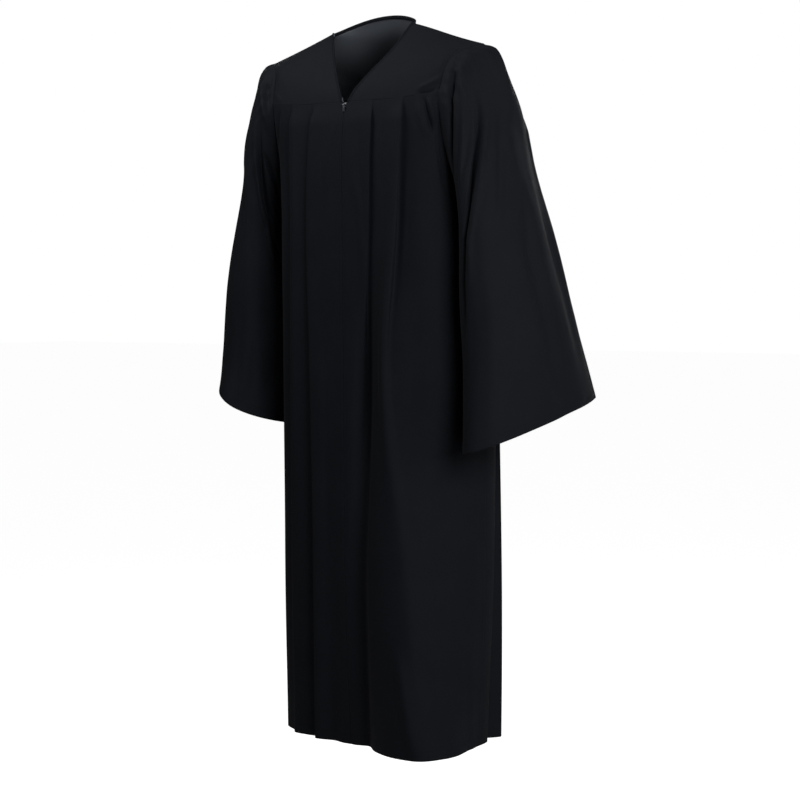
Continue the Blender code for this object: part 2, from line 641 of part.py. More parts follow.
def sleeve(side, turns):
    """Rows from the armhole down to the hem, columns round the sleeve, with the directions it shares."""
    hem = SLEEVE_HEM_LEFT if side > 0 else SLEEVE_HEM_RIGHT
    stations = table(SLEEVE_COLUMNS, *SLEEVE_TOP, hem)
    share = (np.linspace(0, 1, SLEEVE_ROWS) ** SLEEVE_CROWDING)[:, None]
    at = {name: flow(SLEEVE_SHARES, column, share) for name, column in stations.items()}
    angle = 2 * np.pi * turns
    cos, sin = np.cos(angle), np.sin(angle)
    reach = np.where(sin > 0, at["front"], at["back"])

    mid_x, half_x = (at["outer_x"] + at["inner_x"]) / 2, (at["outer_x"] - at["inner_x"]) / 2
    mid_drop, half_drop = (at["outer_drop"] + at["inner_drop"]) / 2, (at["outer_drop"] - at["inner_drop"]) / 2
    y = -reach * sin
    z = -mid_drop - half_drop * cos + at["pitch"] * y
    points = np.stack([mid_x + half_x * cos, at["y_mid"] + y, z], -1)
    shares, loop = armhole(side)
    loop = mirrored(np.stack([np.interp(turns, shares, column) for column in loop.T], -1), side)
    points = points + (loop - points[:1]) * (1 - smooth(share / ARMHOLE_SHARE))[..., None]

    # Outward directions, from the grid itself.
    round_it = np.roll(points[:, :-1], -1, 1) - np.roll(points[:, :-1], 1, 1)
    round_it = np.concatenate([round_it, round_it[:, :1]], 1)
    down_it = np.gradient(points, axis=0)
    normal = np.cross(round_it, down_it)
    normal /= np.linalg.norm(normal, axis=-1, keepdims=True)
    middle = points.mean(1, keepdims=True)
    normal *= np.sign(((points - middle) * normal).sum(-1, keepdims=True).mean())

    out = np.zeros(points.shape[:2])
    for row in range(len(SLEEVE_FOLDS["at_cap"])):
        fold = {name: column[row] for name, column in SLEEVE_FOLDS.items()}
        centre = fold["at_cap"] + (fold["at_hem"] - fold["at_cap"]) * share
        width = fold["width_cap"] + (fold["width_hem"] - fold["width_cap"]) * share
        away = np.abs((turns - centre + 0.5) % 1.0 - 0.5) / width
        depths = [0, fold["out_cap"], fold["out_elbow"], fold["out_hem"]]
        depth = flow(SLEEVE_FOLD_SHARES, depths, share)
        out += depth * np.cos(np.pi / 2 * np.clip(away, 0, 1)) ** 2
    signed = (turns + 0.5) % 1.0 - 0.5
    low, high = GATHER_SPAN
    inside = smooth((signed - low) / GATHER_START) * smooth((high - signed) / GATHER_START)
    gather = 0.5 - 0.5 * np.cos(2 * np.pi * GATHERS * (signed - low) / (high - low))
    out += GATHER_OUT * gather * inside * smooth(share / GATHER_START) * (1 - smooth(share / GATHER_FADE))
    points = clear_of_body(mirrored(points + normal * out[..., None], side), side)

    # Under the arm the sleeve leaves the seam level, before it falls beside the body.
    step = points[1] - points[0]
    step *= SEAM_LEAD / np.linalg.norm(step, axis=-1, keepdims=True)
    under = smooth((np.abs(signed) - GATHER_SPAN[1] + UNDER_BLEND) / UNDER_BLEND)[:, None]
    lead = points[0] + step * (1 - under) + np.array((side * SEAM_LEAD, 0, 0)) * under
    points = np.concatenate([points[:1], lead[None], points[1:]])
    shared = np.full(points.shape, np.nan)
    shared[0] = armhole_inward(points[0], side)
    return points, shared


# --- Objects --------------------------------------------------------------------------------------


def material(name, colour, roughness, metallic=0.0):
    found = bpy.data.materials.new(name)
    found.use_nodes = True
    shader = found.node_tree.nodes["Principled BSDF"]
    shader.inputs["Base Color"].default_value = (*colour, 1)
    shader.inputs["Roughness"].default_value = roughness
    shader.inputs["Metallic"].default_value = metallic
    return found


def add(name, mesh, slot, collection):
    mesh.materials.append(slot)
    obj = bpy.data.objects.new(name, mesh)
    collection.objects.link(obj)
    return obj


def inward(points, shared, flip, tube):
    """Steps from a grid's outer face to its inner face, WALL apart, in a shared direction if there is one."""
    cells = np.cross(points[1:, 1:] - points[:-1, :-1], points[1:, :-1] - points[:-1, 1:])
    cells /= np.linalg.norm(cells, axis=-1, keepdims=True) * (1 if flip else -1)
    total = np.zeros(points.shape)
    count = np.zeros(points.shape[:2] + (1,))
    for rows in (np.s_[:-1], np.s_[1:]):
        for columns in (np.s_[:-1], np.s_[1:]):
            total[rows, columns] += cells
            count[rows, columns] += 1
    if tube:
        for sums in (total, count):
            sums[:, [0, -1]] = sums[:, :1] + sums[:, -1:]
    length = np.linalg.norm(total, axis=-1, keepdims=True)
    normal = total / length
    shared_part = np.sum(shared * normal, -1, keepdims=True)
    step = np.where(np.isnan(shared), normal * np.minimum(count / length, MOST_SLANT), shared)
    return WALL * np.where(np.isnan(shared), step, shared / np.maximum(shared_part, 1 / MOST_SLANT))


def cloth(name, points, steps, slot, collection, flip=False, tube=False):
    """A grid laid on the points, joined into a tube if asked, and extruded by its steps to the inner face."""
    rows, columns = points.shape[:2]
    bm = bmesh.new()
    bmesh.ops.create_grid(bm, x_segments=columns - 1, y_segments=rows - 1, size=0.5)
    place = bm.verts.layers.int.new("place")
    for vert in bm.verts:
        column = round((vert.co.x + 0.5) * (columns - 1))
        row = round((vert.co.y + 0.5) * (rows - 1))
        vert[place] = row * columns + column
        vert.co = points[row, column]
    if tube:
        bmesh.ops.remove_doubles(bm, verts=bm.verts, dist=1e-6)
    if not flip:
        bmesh.ops.reverse_faces(bm, faces=bm.faces)
    extruded = bmesh.ops.extrude_face_region(bm, geom=bm.faces[:], use_keep_orig=True)
    for vert in extruded["geom"]:
        if isinstance(vert, bmesh.types.BMVert):
            vert.co += Vector(steps.reshape(-1, 3)[vert[place]])
    bmesh.ops.recalc_face_normals(bm, faces=bm.faces)
    mesh = bpy.data.meshes.new(name)
    bm.to_mesh(mesh)
    bm.free()
    mesh.shade_smooth()
    return add(name, mesh, slot, collection)


def piece(name, points, shared, slot, collection, flip=False, tube=False):
    return cloth(name, points, inward(points, shared, flip, tube), slot, collection, flip, tube)


def zip_strip(fronts, half, depth, top_drop):
    """A strip behind the two fronts' centre edges, laid on their own points and moved back by `depth`."""
    across = np.array([0, half / 2, half])
    sides = []
    for front in fronts:
        side = np.sign(front[0, -1, 0])
        rows = front[front[:, 0, 2] > -ZIP_BOTTOM_DROP]
        level = [[np.interp(across, side * row[:, 0], row[:, k]) for k in (1, 2)] for row in rows]
        laid = np.stack([np.broadcast_to(side * across, (len(rows), 3)), *np.moveaxis(level, 1, 0)], -1)
        step = laid[1] - laid[0]
        laid[0] -= step * (laid[0, :, 2:] + top_drop) / step[:, 2:]
        sides.append(laid)
    return np.concatenate([sides[1][:, :0:-1], sides[0]], 1) + (0, depth, 0)


def block(name, size, centre, origin, slot, collection, tilt=0):
    """A box whose centre is given from its object's origin."""
    bm = bmesh.new()
    bmesh.ops.create_cube(bm, size=1, matrix=Matrix.LocRotScale(centre, None, size))
    return placed(name, bm, origin, slot, collection, tilt)


def rod(name, radius, length, origin, slot, collection):
    """A cylinder along X, centred on its object's origin."""
    bm = bmesh.new()
    turn = Matrix.Rotation(math.pi / 2, 4, "Y")
    bmesh.ops.create_cone(
        bm, cap_ends=True, segments=ROD_SIDES, radius1=radius, radius2=radius, depth=length, matrix=turn
    )
    return placed(name, bm, origin, slot, collection)


def placed(name, bm, origin, slot, collection, tilt=0):
    mesh = bpy.data.meshes.new(name)
    bm.to_mesh(mesh)
    bm.free()
    obj = add(name, mesh, slot, collection)
    obj.location = origin
    obj.rotation_euler.x = tilt
    return obj


def combine(obj, other, operation):
    other.hide_render = True
    other.display_type = "WIRE"
    modifier = obj.modifiers.new(other.name, "BOOLEAN")
    modifier.object = other
    modifier.operation = operation


def zip_slider(slot, collection, helpers, coil_top, lean, pivot):
    """A body round the coil's top end, with a lug through the V's notch that carries the pull tab's pin."""
    tunnel = (2 * (COIL_HALF + FIT), COIL_THICK + 2 * SLIDER_ROOM, SLIDER_LENGTH)
    size = (SLIDER_WIDTH, tunnel[1] + 2 * SLIDER_PLATE, SLIDER_LENGTH)
    middle = (0, COIL_THICK / 2, SLIDER_CROWN - SLIDER_LENGTH / 2)
    slider = block("zip_slider", size, middle, coil_top, slot, collection, lean)
    below = (0, middle[1], 2 * SLIDER_ROOM - SLIDER_LENGTH / 2)
    combine(slider, block("slider_tunnel", tunnel, below, coil_top, slot, helpers, lean), "DIFFERENCE")

    reach = coil_top[1] - SLIDER_ROOM - SLIDER_PLATE / 2 - pivot[1]
    lug = block("slider_lug", (LUG_WIDTH, reach, 2 * LUG_RADIUS), (0, reach / 2, 0), pivot, slot, helpers)
    combine(slider, lug, "UNION")
    combine(slider, rod("slider_lug_nose", LUG_RADIUS, LUG_WIDTH, pivot, slot, helpers), "UNION")
    combine(slider, rod("slider_pin", PIN_RADIUS, PIN_LENGTH, pivot, slot, helpers), "UNION")


def zip_pull(slot, collection, helpers, pivot):
    """The tab, with a knuckle each side of the slider's lug. Its origin lies on the hinge axis."""
    size = (TAB_WIDTH, TAB_THICK, TAB_LENGTH)
    tab = block("zip_pull", size, (0, 0, -TAB_LENGTH / 2), pivot, slot, collection)
    combine(tab, rod("tab_knuckle", KNUCKLE_RADIUS, TAB_WIDTH, pivot, slot, helpers), "UNION")
    clear = LUG_RADIUS + FIT
    gap_size = (LUG_WIDTH + 2 * FIT, 2 * clear, 2 * clear)
    combine(tab, block("tab_gap", gap_size, (0, 0, 0), pivot, slot, helpers), "DIFFERENCE")
    combine(tab, rod("tab_bore", PIN_RADIUS + FIT, TAB_WIDTH + FIT, pivot, slot, helpers), "DIFFERENCE")


def zip_pieces(fronts, metal, black, collection, helpers):
    tape_depth = WALL + TAPE_GAP
    tape = zip_strip(fronts, TAPE_HALF, tape_depth, TAPE_TOP_DROP)
    thick = np.broadcast_to((0, TAPE_THICK, 0), tape.shape)
    cloth("zip_tape", tape, thick, black, collection, flip=True)
    coil = zip_strip(fronts, COIL_HALF, tape_depth + TAPE_THICK + TAPE_GAP, COIL_TOP_DROP)
    thick = np.broadcast_to((0, COIL_THICK, 0), coil.shape)
    cloth("zip_coil", coil, thick, black, collection, flip=True)
    top, below = coil[:2, coil.shape[1] // 2]
    lean = math.atan2(below[1] - top[1], top[2] - below[2])

    # The pivot stands far enough forward for the tab to hang straight down, clear of the cloth behind.
    foot_drop = PIVOT_DROP + TAB_LENGTH
    pivot = (0, body_point(0, foot_drop, 0, False, 1)[1] - FIT - TAB_THICK / 2, -PIVOT_DROP)
    zip_slider(metal, collection, helpers, tuple(top), lean, pivot)
    zip_pull(metal, collection, helpers, pivot)


def joined(left, right):
    """One grid, and its shared directions, from a right half and a left half that meet at the centre."""
    return [np.concatenate([a[:, :0:-1], b], 1) for a, b in zip(right, left)]


def main():
    for obj in list(bpy.data.objects):
        bpy.data.objects.remove(obj)
    collection = bpy.data.collections.new("Graduation gown")
    bpy.context.scene.collection.children.link(collection)
    helpers = bpy.data.collections.new("Cutters and joined pieces")
    bpy.context.scene.collection.children.link(helpers)
    black = material("Black cloth", (0.012, 0.013, 0.016), 0.75)
    tape = material("Black zip tape", (0.010, 0.010, 0.012), 0.85)
    metal = material("Grey metal", (0.30, 0.31, 0.33), 0.35, 1.0)

    fronts = []
    for side, name in ((1, "left"), (-1, "right")):
        folds = FRONT_LEFT_FOLDS if side > 0 else FRONT_RIGHT_FOLDS
        place = seam_places(folds, FOLD_STEP)
        points, shared = panel(folds, False, side, FOLD_STEP)
        points = trimmed(points, end=SEAM_TRIM)
        points[0, : len(place), 2] -= SEAM_TRIM
        points[:, 0, 0] = side * FIT / 2
        piece(f"front_{name}", points, shared, black, collection, flip=side > 0)
        fronts.append(points)

        points, shared = yoke_front(side, place[place >= NOTCH_HALF])
        points = trimmed(points, top=SEAM_TRIM, bottom=SEAM_TRIM, end=ARMHOLE_TRIM)
        piece(f"yoke_front_{name}", points, shared, black, collection, flip=side > 0)

        points, shared = sleeve(side, sleeve_turns(side))
        points = trimmed(points, top=ARMHOLE_TRIM)
        piece(f"sleeve_{name}", points, shared, black, collection, flip=side > 0, tube=True)

    points, shared = joined(*(panel(back_folds(side), True, side, FLUTE_STEP) for side in (1, -1)))
    points = trimmed(points, start=SEAM_TRIM, end=SEAM_TRIM)
    points[0, ARMHOLE_COLUMNS:-ARMHOLE_COLUMNS, 2] -= SEAM_TRIM
    piece("back", points, shared, black, collection)

    place = seam_places(back_folds(1), FLUTE_STEP)
    points, shared = joined(*(yoke_back(side, place) for side in (1, -1)))
    points = trimmed(points, SEAM_TRIM, SEAM_TRIM, ARMHOLE_TRIM, ARMHOLE_TRIM)
    piece("yoke_back", points, shared, black, collection)

    zip_pieces(fronts, metal, tape, collection, helpers)


main()
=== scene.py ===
# %% [markdown]
# # A graduation gown, sewn in Blender
# The gown is shown as it looks on a wearer, with nobody inside: a smooth yoke over the shoulders, pleated
# fronts, a fluted back, wide bell sleeves and a zip behind the centre front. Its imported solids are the
# pattern that everything here is laid on. Each cloth piece is one sheet with its own folds, edges and
# seams, and the stitches and the zip are modelled where a maker would put them. Each step says what the
# piece is on a real gown, how it could be made and why it is made this way.
#
# +X is the wearer's left, +Y the wearer's back and +Z is up, in metres. The origin lies between the two
# points where the neckline meets the shoulder seams. A "drop" is a distance straight down from there, and
# a "place" is a distance round the body from its centre front or its centre back.

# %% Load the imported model
import math
import bpy
import numpy as np
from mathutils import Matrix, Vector


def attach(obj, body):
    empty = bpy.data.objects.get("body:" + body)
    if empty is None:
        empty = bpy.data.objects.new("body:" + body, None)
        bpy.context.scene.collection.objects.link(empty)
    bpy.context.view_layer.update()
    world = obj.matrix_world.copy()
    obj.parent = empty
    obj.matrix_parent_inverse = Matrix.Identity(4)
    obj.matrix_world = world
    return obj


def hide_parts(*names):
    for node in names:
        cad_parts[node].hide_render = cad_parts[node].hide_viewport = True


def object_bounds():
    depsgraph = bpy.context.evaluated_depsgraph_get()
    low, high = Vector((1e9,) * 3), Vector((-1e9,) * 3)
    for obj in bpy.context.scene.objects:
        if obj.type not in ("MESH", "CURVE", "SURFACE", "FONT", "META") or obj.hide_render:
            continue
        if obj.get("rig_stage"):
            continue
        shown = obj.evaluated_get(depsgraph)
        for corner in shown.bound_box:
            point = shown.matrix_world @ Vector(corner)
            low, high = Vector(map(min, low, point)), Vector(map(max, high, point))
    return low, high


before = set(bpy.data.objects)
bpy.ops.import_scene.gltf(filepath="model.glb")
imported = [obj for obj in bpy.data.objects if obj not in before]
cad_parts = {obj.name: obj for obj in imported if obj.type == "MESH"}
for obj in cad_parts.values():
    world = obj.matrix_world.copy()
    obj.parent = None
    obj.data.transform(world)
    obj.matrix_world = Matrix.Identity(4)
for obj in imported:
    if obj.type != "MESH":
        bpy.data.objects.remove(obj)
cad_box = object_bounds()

bpy.ops.object.select_all(action="DESELECT")
print("nodes:", ", ".join(sorted(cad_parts)))

# %% [markdown]
# ## Camera
# The camera stands to the wearer's left and looks level, so that upright edges stay upright. It could be
# tilted down to frame the hem, but then the sides of the gown would lean. A lens shift frames it instead,
# as with a view camera.

# %% The camera
PICTURE = 800
CAMERA_TURN = math.radians(35)
CAMERA_DISTANCE = 3.5
CAMERA_HEIGHT = -0.4945
FOCAL_PIXELS = 1897
AXIS_PIXEL = (377, 299)  # where the line of sight meets the picture
SENSOR = 36

camera_data = bpy.data.cameras.new("camera")
camera_data.sensor_width = SENSOR
camera_data.lens = FOCAL_PIXELS / PICTURE * SENSOR
camera_data.shift_x = 0.5 - AXIS_PIXEL[0] / PICTURE
camera_data.shift_y = AXIS_PIXEL[1] / PICTURE - 0.5
camera = bpy.data.objects.new("camera", camera_data)
camera.location = (
    CAMERA_DISTANCE * math.sin(CAMERA_TURN),
    -CAMERA_DISTANCE * math.cos(CAMERA_TURN),
    CAMERA_HEIGHT,
)
camera.rotation_euler = (math.radians(90), 0, CAMERA_TURN)
bpy.context.collection.objects.link(camera)
bpy.context.scene.camera = camera
print(f"camera: {camera_data.lens:.0f} mm lens, {CAMERA_DISTANCE} m away")

# %% [markdown]
# ## Colours and nodes
# Colours are written as the sRGB hex values that a colour picker shows. Blender's shaders work in linear
# light, so one function turns them over. A second one adds a node with its settings and its links.


# %% Two small helpers
def linear(hex_colour):
    """An sRGB hex colour as linear RGBA."""
    parts = [int(hex_colour[k : k + 2], 16) / 255 for k in (1, 3, 5)]
    return (*((c / 12.92 if c <= 0.04045 else ((c + 0.055) / 1.055) ** 2.4) for c in parts), 1)


def add_node(tree, kind, settings=None, **inputs):
    """A new node with its inputs: a value is set and an output socket is linked. _ stands for a space."""
    node = tree.nodes.new(kind)
    for key, value in (settings or {}).items():
        setattr(node, key, value)
    for key, value in inputs.items():
        name = int(key[3:]) if key.startswith("in_") else key.replace("_", " ")
        socket = node.inputs[name]
        if isinstance(value, bpy.types.NodeSocket):
            tree.links.new(value, socket)
        else:
            socket.default_value = value
    return node


print(f"a middle grey, #808080, is {linear('#808080')[0]:.3f} in linear light")


# %% [markdown]
# ## Curves
# A garment's lines are drawn through a few measured points. Blender's Bezier curves could draw them too,
# but their handles overshoot, and arrays are easier to lay a grid on. `flow` joins the points smoothly
# and never overshoots them, so a hem or a fold goes where its table says and nowhere else.


# %% Smooth curves through measured points
TINY = 1e-9


def table(columns, *rows):
    """A dict of named numpy columns."""
    return dict(zip(columns.split(), np.array(rows, float).T))


def smooth(t):
    t = np.clip(t, 0, 1)
    return t * t * (3 - 2 * t)


def slopes(nodes, values):
    """Slopes at the nodes of a curve that never overshoots them, along the last axis."""
    rise = np.diff(values) / np.maximum(np.diff(nodes), TINY)
    before, after = rise[..., :-1], rise[..., 1:]
    both = before + after
    inner = np.where(before * after > 0, 2 * before * after / np.where(both == 0, 1, both), 0)
    return np.concatenate([rise[..., :1], inner, rise[..., -1:]], -1)


def hermite(t, span, start, end, slope_start, slope_end):
    t2, t3 = t * t, t * t * t
    return (
        (2 * t3 - 3 * t2 + 1) * start
        + (t3 - 2 * t2 + t) * span * slope_start
        + (3 * t2 - 2 * t3) * end
        + (t3 - t2) * span * slope_end
    )


def flow(nodes, values, at):
    """Values between rising nodes, read at `at`. Several rows of `values` give several columns."""
    nodes, values, at = np.asarray(nodes, float), np.asarray(values, float), np.asarray(at, float)
    at = np.clip(at, nodes[0], nodes[-1])
    k = np.clip(np.searchsorted(nodes, at, side="right") - 1, 0, len(nodes) - 2)
    span = nodes[k + 1] - nodes[k]
    slope = slopes(nodes, values)
    ends = [a[..., k + n] for a in (values, slope) for n in (0, 1)]
    curve = hermite((at - nodes[k]) / span, span, *ends)
    return np.moveaxis(curve, 0, -1) if values.ndim > 1 else curve


def run_along(points):
    """The length of a polyline up to each of its points."""
    return np.concatenate([[0], np.cumsum(np.linalg.norm(np.diff(points, axis=0), axis=1))])


def along(points, shares):
    """Points at the given shares of a polyline's length."""
    run = run_along(points)
    return np.stack([np.interp(shares * run[-1], run, column) for column in points.T], -1)


def curve_through(points, steps=24):
    """A smooth polyline through a few points."""
    points = np.asarray(points, float)
    run = run_along(points)
    return flow(run, points.T, np.linspace(0, run[-1], steps * (len(points) - 1) + 1)).reshape(-1, 3)


def mirrored(points, side):
    """Points of the wearer's left, or their mirror image where `side` is -1."""
    return np.asarray(points, float) * (side, 1, 1)


print(f"a curve through 0, 1 and 1 reads {float(flow([0, 1, 2], [0, 1, 1], 0.5)):.2f} halfway to its 1")


# %% [markdown]
# ## The body of the gown
# Below the yoke the cloth hangs in rings, each a quarter from the centre line to the side seam. The shape
# could be sculpted, but then no other piece could ask where it is. Here a short table describes it, and
# every piece is laid on it by the same function. A ring is a cubic curve whose fullness says how square
# it is. The front stands almost flat between the pleats, and the back is rounder.

# %% Rings from the yoke seam to the hem
BODY_RINGS = table(
    "drop   half_width  y_front  y_side  y_back  full_left  full_right  full_back",
    (0.130, 0.2200, -0.0985, 0.030, 0.163, 0.88, 0.88, 0.80),
    (0.180, 0.2140, -0.1080, 0.038, 0.178, 0.84, 0.80, 0.78),
    (0.250, 0.2080, -0.1110, 0.046, 0.188, 0.82, 0.74, 0.70),
    (0.360, 0.2050, -0.1095, 0.050, 0.190, 0.80, 0.74, 0.66),
    (0.600, 0.2050, -0.1065, 0.050, 0.188, 0.77, 0.70, 0.62),
    (0.950, 0.2035, -0.1030, 0.050, 0.186, 0.74, 0.64, 0.62),
    (1.300, 0.1970, -0.0820, 0.042, 0.184, 0.84, 0.62, 0.62),
)
CURVE_STEPS = 48
STEPS = np.linspace(0, 1, CURVE_STEPS + 1)
PROBE = 1e-4  # in a curve's own parameter, to find its direction


def bernstein(t):
    return np.stack([(1 - t) ** 3, 3 * (1 - t) ** 2 * t, 3 * (1 - t) * t**2, t**3], -1)


def ring_cage(drop, back, side):
    """Control points of the quarter ring, from centre line to side, as (n, 4) arrays of X and Y."""
    ring = {name: flow(BODY_RINGS["drop"], column, drop) for name, column in BODY_RINGS.items()}
    end = ring["y_back" if back else "y_front"]
    full = ring["full_back" if back else ("full_left" if side > 0 else "full_right")]
    width, y_side = ring["half_width"], ring["y_side"]
    x = np.stack([0 * width, full * width, width, width], -1)
    y = np.stack([end, end, y_side + full * (end - y_side), y_side], -1)
    return x, y


def ring_lengths(x, y):
    """Lengths along the quarter ring at each of STEPS, as (n, steps)."""
    base = bernstein(STEPS).T
    run = np.hypot(np.diff(x @ base), np.diff(y @ base))
    return np.concatenate([np.zeros(run.shape[:-1] + (1,)), np.cumsum(run, -1)], -1)


def ring_length(drop, back, side):
    return ring_lengths(*ring_cage(np.atleast_1d(drop), back, side))[..., -1]


def body_point(place, drop, out, back, side):
    """Points on the body `place` metres from its centre line, moved `out` along the ring's normal."""
    place, drop, out = np.broadcast_arrays(*(np.asarray(a, float) for a in (place, drop, out)))
    shape = place.shape
    place, drop, out = place.ravel(), drop.ravel(), out.ravel()
    x, y = ring_cage(drop, back, side)
    lengths = ring_lengths(x, y)
    place = np.clip(place, 0, lengths[:, -1])
    k = np.clip((lengths <= place[:, None]).sum(-1) - 1, 0, CURVE_STEPS - 1)
    rows = np.arange(len(place))
    start, end = lengths[rows, k], lengths[rows, k + 1]
    t = (k + (place - start) / (end - start)) / CURVE_STEPS
    base = bernstein(t)
    speed = bernstein(np.clip(t + PROBE, 0, 1)) - bernstein(np.clip(t - PROBE, 0, 1))
    heading = np.stack([(x * speed).sum(-1), (y * speed).sum(-1)])
    heading /= np.hypot(*heading)
    normal = np.stack([-heading[1], heading[0]]) if back else np.stack([heading[1], -heading[0]])
    px = (x * base).sum(-1) + normal[0] * out
    py = (y * base).sum(-1) + normal[1] * out
    return np.stack([side * px, py, -drop], -1).reshape(shape + (3,))


quarters = [ring_length(BODY_RINGS["drop"], back, side) for back in (False, True) for side in (1, -1)]
for drop, girth in zip(BODY_RINGS["drop"], sum(quarters)):
    print(f"{drop:.2f} m down, the body is {girth:.2f} m round")


# %% [markdown]
# ## Seam lines
# The yoke ends in one seam across the chest and one across the back, and each armhole is an oval from the
# shoulder tip to the underarm. The pieces could be cut out of one surface with booleans, but that leaves
# ragged edges. Instead, neighbours are cut to the same lines, as a maker cuts them, so they meet all
# along them.

# %% Neckline, yoke seams and armholes
NECK_POINT = (0.0875, -0.015, 0.001)
NAPE = (0.0, 0.037, 0.0315)
NECK_FALL = 1.5  # the neckline falls away from the nape faster than a circle does
SHOULDER_TIP = (0.232, 0.0, -0.041)
SHOULDER_RISE = -0.001  # above a straight line, halfway along the ridge
LEFT_LIFT = 0.0060  # the wearer's left shoulder stands this much higher beside the neck
LEFT_LIFT_PLACE, LEFT_LIFT_SPREAD = (0.105, -0.010), (0.070, 0.035)  # X and Y
V_FOOT_DROP = 0.150
NOTCH_HALF = 0.0051  # half the width of the V where it crosses the yoke seam
V_POINTS = ((0.0674, -0.0400, -0.0388), (0.0336, -0.0772, -0.0900), (0.0135, -0.0945, -0.1210))
FRONT_SEAM_DROP, FRONT_SEAM_END_DROP = 0.139, 0.133  # at the centre and at the armhole
BACK_SEAM_DROP, BACK_SEAM_END_DROP = 0.150, 0.146
SEAM_TURN = 0.5  # of the way to the armhole, where the seam starts to turn up
FRONT_CORNER_PLACE, BACK_CORNER_PLACE = 0.187, 0.190  # where the yoke seams meet the armhole
FRONT_ARMHOLE_POINTS = ((0.2060, -0.040, -0.057), (0.1905, -0.060, -0.083))
BACK_ARMHOLE_POINTS = ((0.2080, 0.045, -0.056), (0.1890, 0.098, -0.098))
UNDERARM_DROP = 0.355
ARMHOLE_POINTS = 40  # on each of its four parts
HEM_DROP = 1.300


def seam_drop(place, back):
    """The drop of the yoke seam, which turns up a little towards the armhole."""
    middle, end, corner = (
        (BACK_SEAM_DROP, BACK_SEAM_END_DROP, BACK_CORNER_PLACE)
        if back
        else (FRONT_SEAM_DROP, FRONT_SEAM_END_DROP, FRONT_CORNER_PLACE)
    )
    share = np.asarray(place, float) / corner
    return middle + (end - middle) * smooth((share - SEAM_TURN) / (1 - SEAM_TURN))


def v_edge():
    """The neckline's front edge, wearer's left, from the neck point down to the yoke seam."""
    foot = body_point(NOTCH_HALF, FRONT_SEAM_DROP, 0, False, 1)
    return curve_through([NECK_POINT, *V_POINTS, foot])


def neck_arc(shares):
    """The neckline's back edge, wearer's left, from the nape to the neck point."""
    turn = np.asarray(shares) * math.pi / 2
    x, y, z = NECK_POINT
    y = y + (NAPE[1] - y) * np.cos(turn)
    z = z + (NAPE[2] - z) * np.cos(turn) ** NECK_FALL
    return np.stack([x * np.sin(turn), y, z], -1)


def shoulder_seam(shares):
    """The shoulder ridge, wearer's left, from the neck point to the shoulder tip."""
    shares = np.asarray(shares, float)[:, None]
    ridge = np.array(NECK_POINT) * (1 - shares) + np.array(SHOULDER_TIP) * shares
    ridge[:, 2] += SHOULDER_RISE * 4 * (shares * (1 - shares))[:, 0]
    return ridge


def shoulder_lifted(points):
    """Points of a yoke with the left shoulder raised beside the neck."""
    across, away = ((points[..., n] - LEFT_LIFT_PLACE[n]) / LEFT_LIFT_SPREAD[n] for n in (0, 1))
    lift = LEFT_LIFT * np.exp(-(across**2) - away**2)
    return points + lift[..., None] * (0, 0, 1)


# %% Armholes
def armhole_corner(back):
    """(place, drop) where the yoke seam meets the armhole."""
    if back:
        return BACK_CORNER_PLACE, BACK_SEAM_END_DROP
    return FRONT_CORNER_PLACE, FRONT_SEAM_END_DROP


def armhole_place(drop, back, side):
    """How far round the body the armhole lies at a drop: a quarter oval down to the underarm."""
    corner, top = armhole_corner(back)
    share = corner / ring_length(np.array([top]), back, side)[0]
    turn = np.arcsin(np.clip((drop - top) / (UNDERARM_DROP - top), 0, 1))
    return ring_length(drop.ravel(), back, side).reshape(drop.shape) * (1 - (1 - share) * np.cos(turn))


def armhole_under(back, side, shares):
    """(place, drop) along the panel's part of the armhole, from the yoke's corner to the side seam."""
    top = armhole_corner(back)[1]
    drop = top + (UNDERARM_DROP - top) * np.sin(np.asarray(shares, float) * math.pi / 2)
    return armhole_place(drop, back, side), drop


def armhole_yoke(back, side):
    """The yoke's part of the armhole, from the shoulder tip down to its corner."""
    place, drop = armhole_under(back, 1, np.zeros(1))
    corner = body_point(place, drop, 0, back, 1)[0]
    between = BACK_ARMHOLE_POINTS if back else FRONT_ARMHOLE_POINTS
    return mirrored(curve_through([SHOULDER_TIP, *between, corner]), side)


def armhole(side):
    """The armhole's points and turns, from the shoulder tip forwards, under the arm and up the back."""
    halves = []
    for back in (False, True):
        place, drop = armhole_under(back, side, np.linspace(0, 1, ARMHOLE_POINTS)[1:])
        yoke = along(armhole_yoke(back, side), np.linspace(0, 1, ARMHOLE_POINTS))
        half = np.concatenate([yoke, body_point(place, drop, 0, back, side)])
        run = run_along(half)
        halves.append((run / run[-1] / 2, half))
    (front_turns, front), (back_turns, rear) = halves
    turns = np.concatenate([front_turns, 1 - back_turns[-2::-1]])
    return turns, np.concatenate([front, rear[-2::-1]])


print(f"V edge: {run_along(v_edge())[-1]:.3f} m, armhole: {run_along(armhole(1)[1])[-1]:.3f} m round")


# %% [markdown]
# ## Pleats and flutes
# The fronts are gathered into the yoke by a few knife pleats that open towards the hem, and the back by
# even flutes. A cloth simulation could fold them, but not where a maker pinned them, and it has to be run
# again for each change. So a table gives each fold's place and how far it stands out at five heights, and
# `flow` joins them. The two tables differ, because no two sides of a worn gown hang alike.

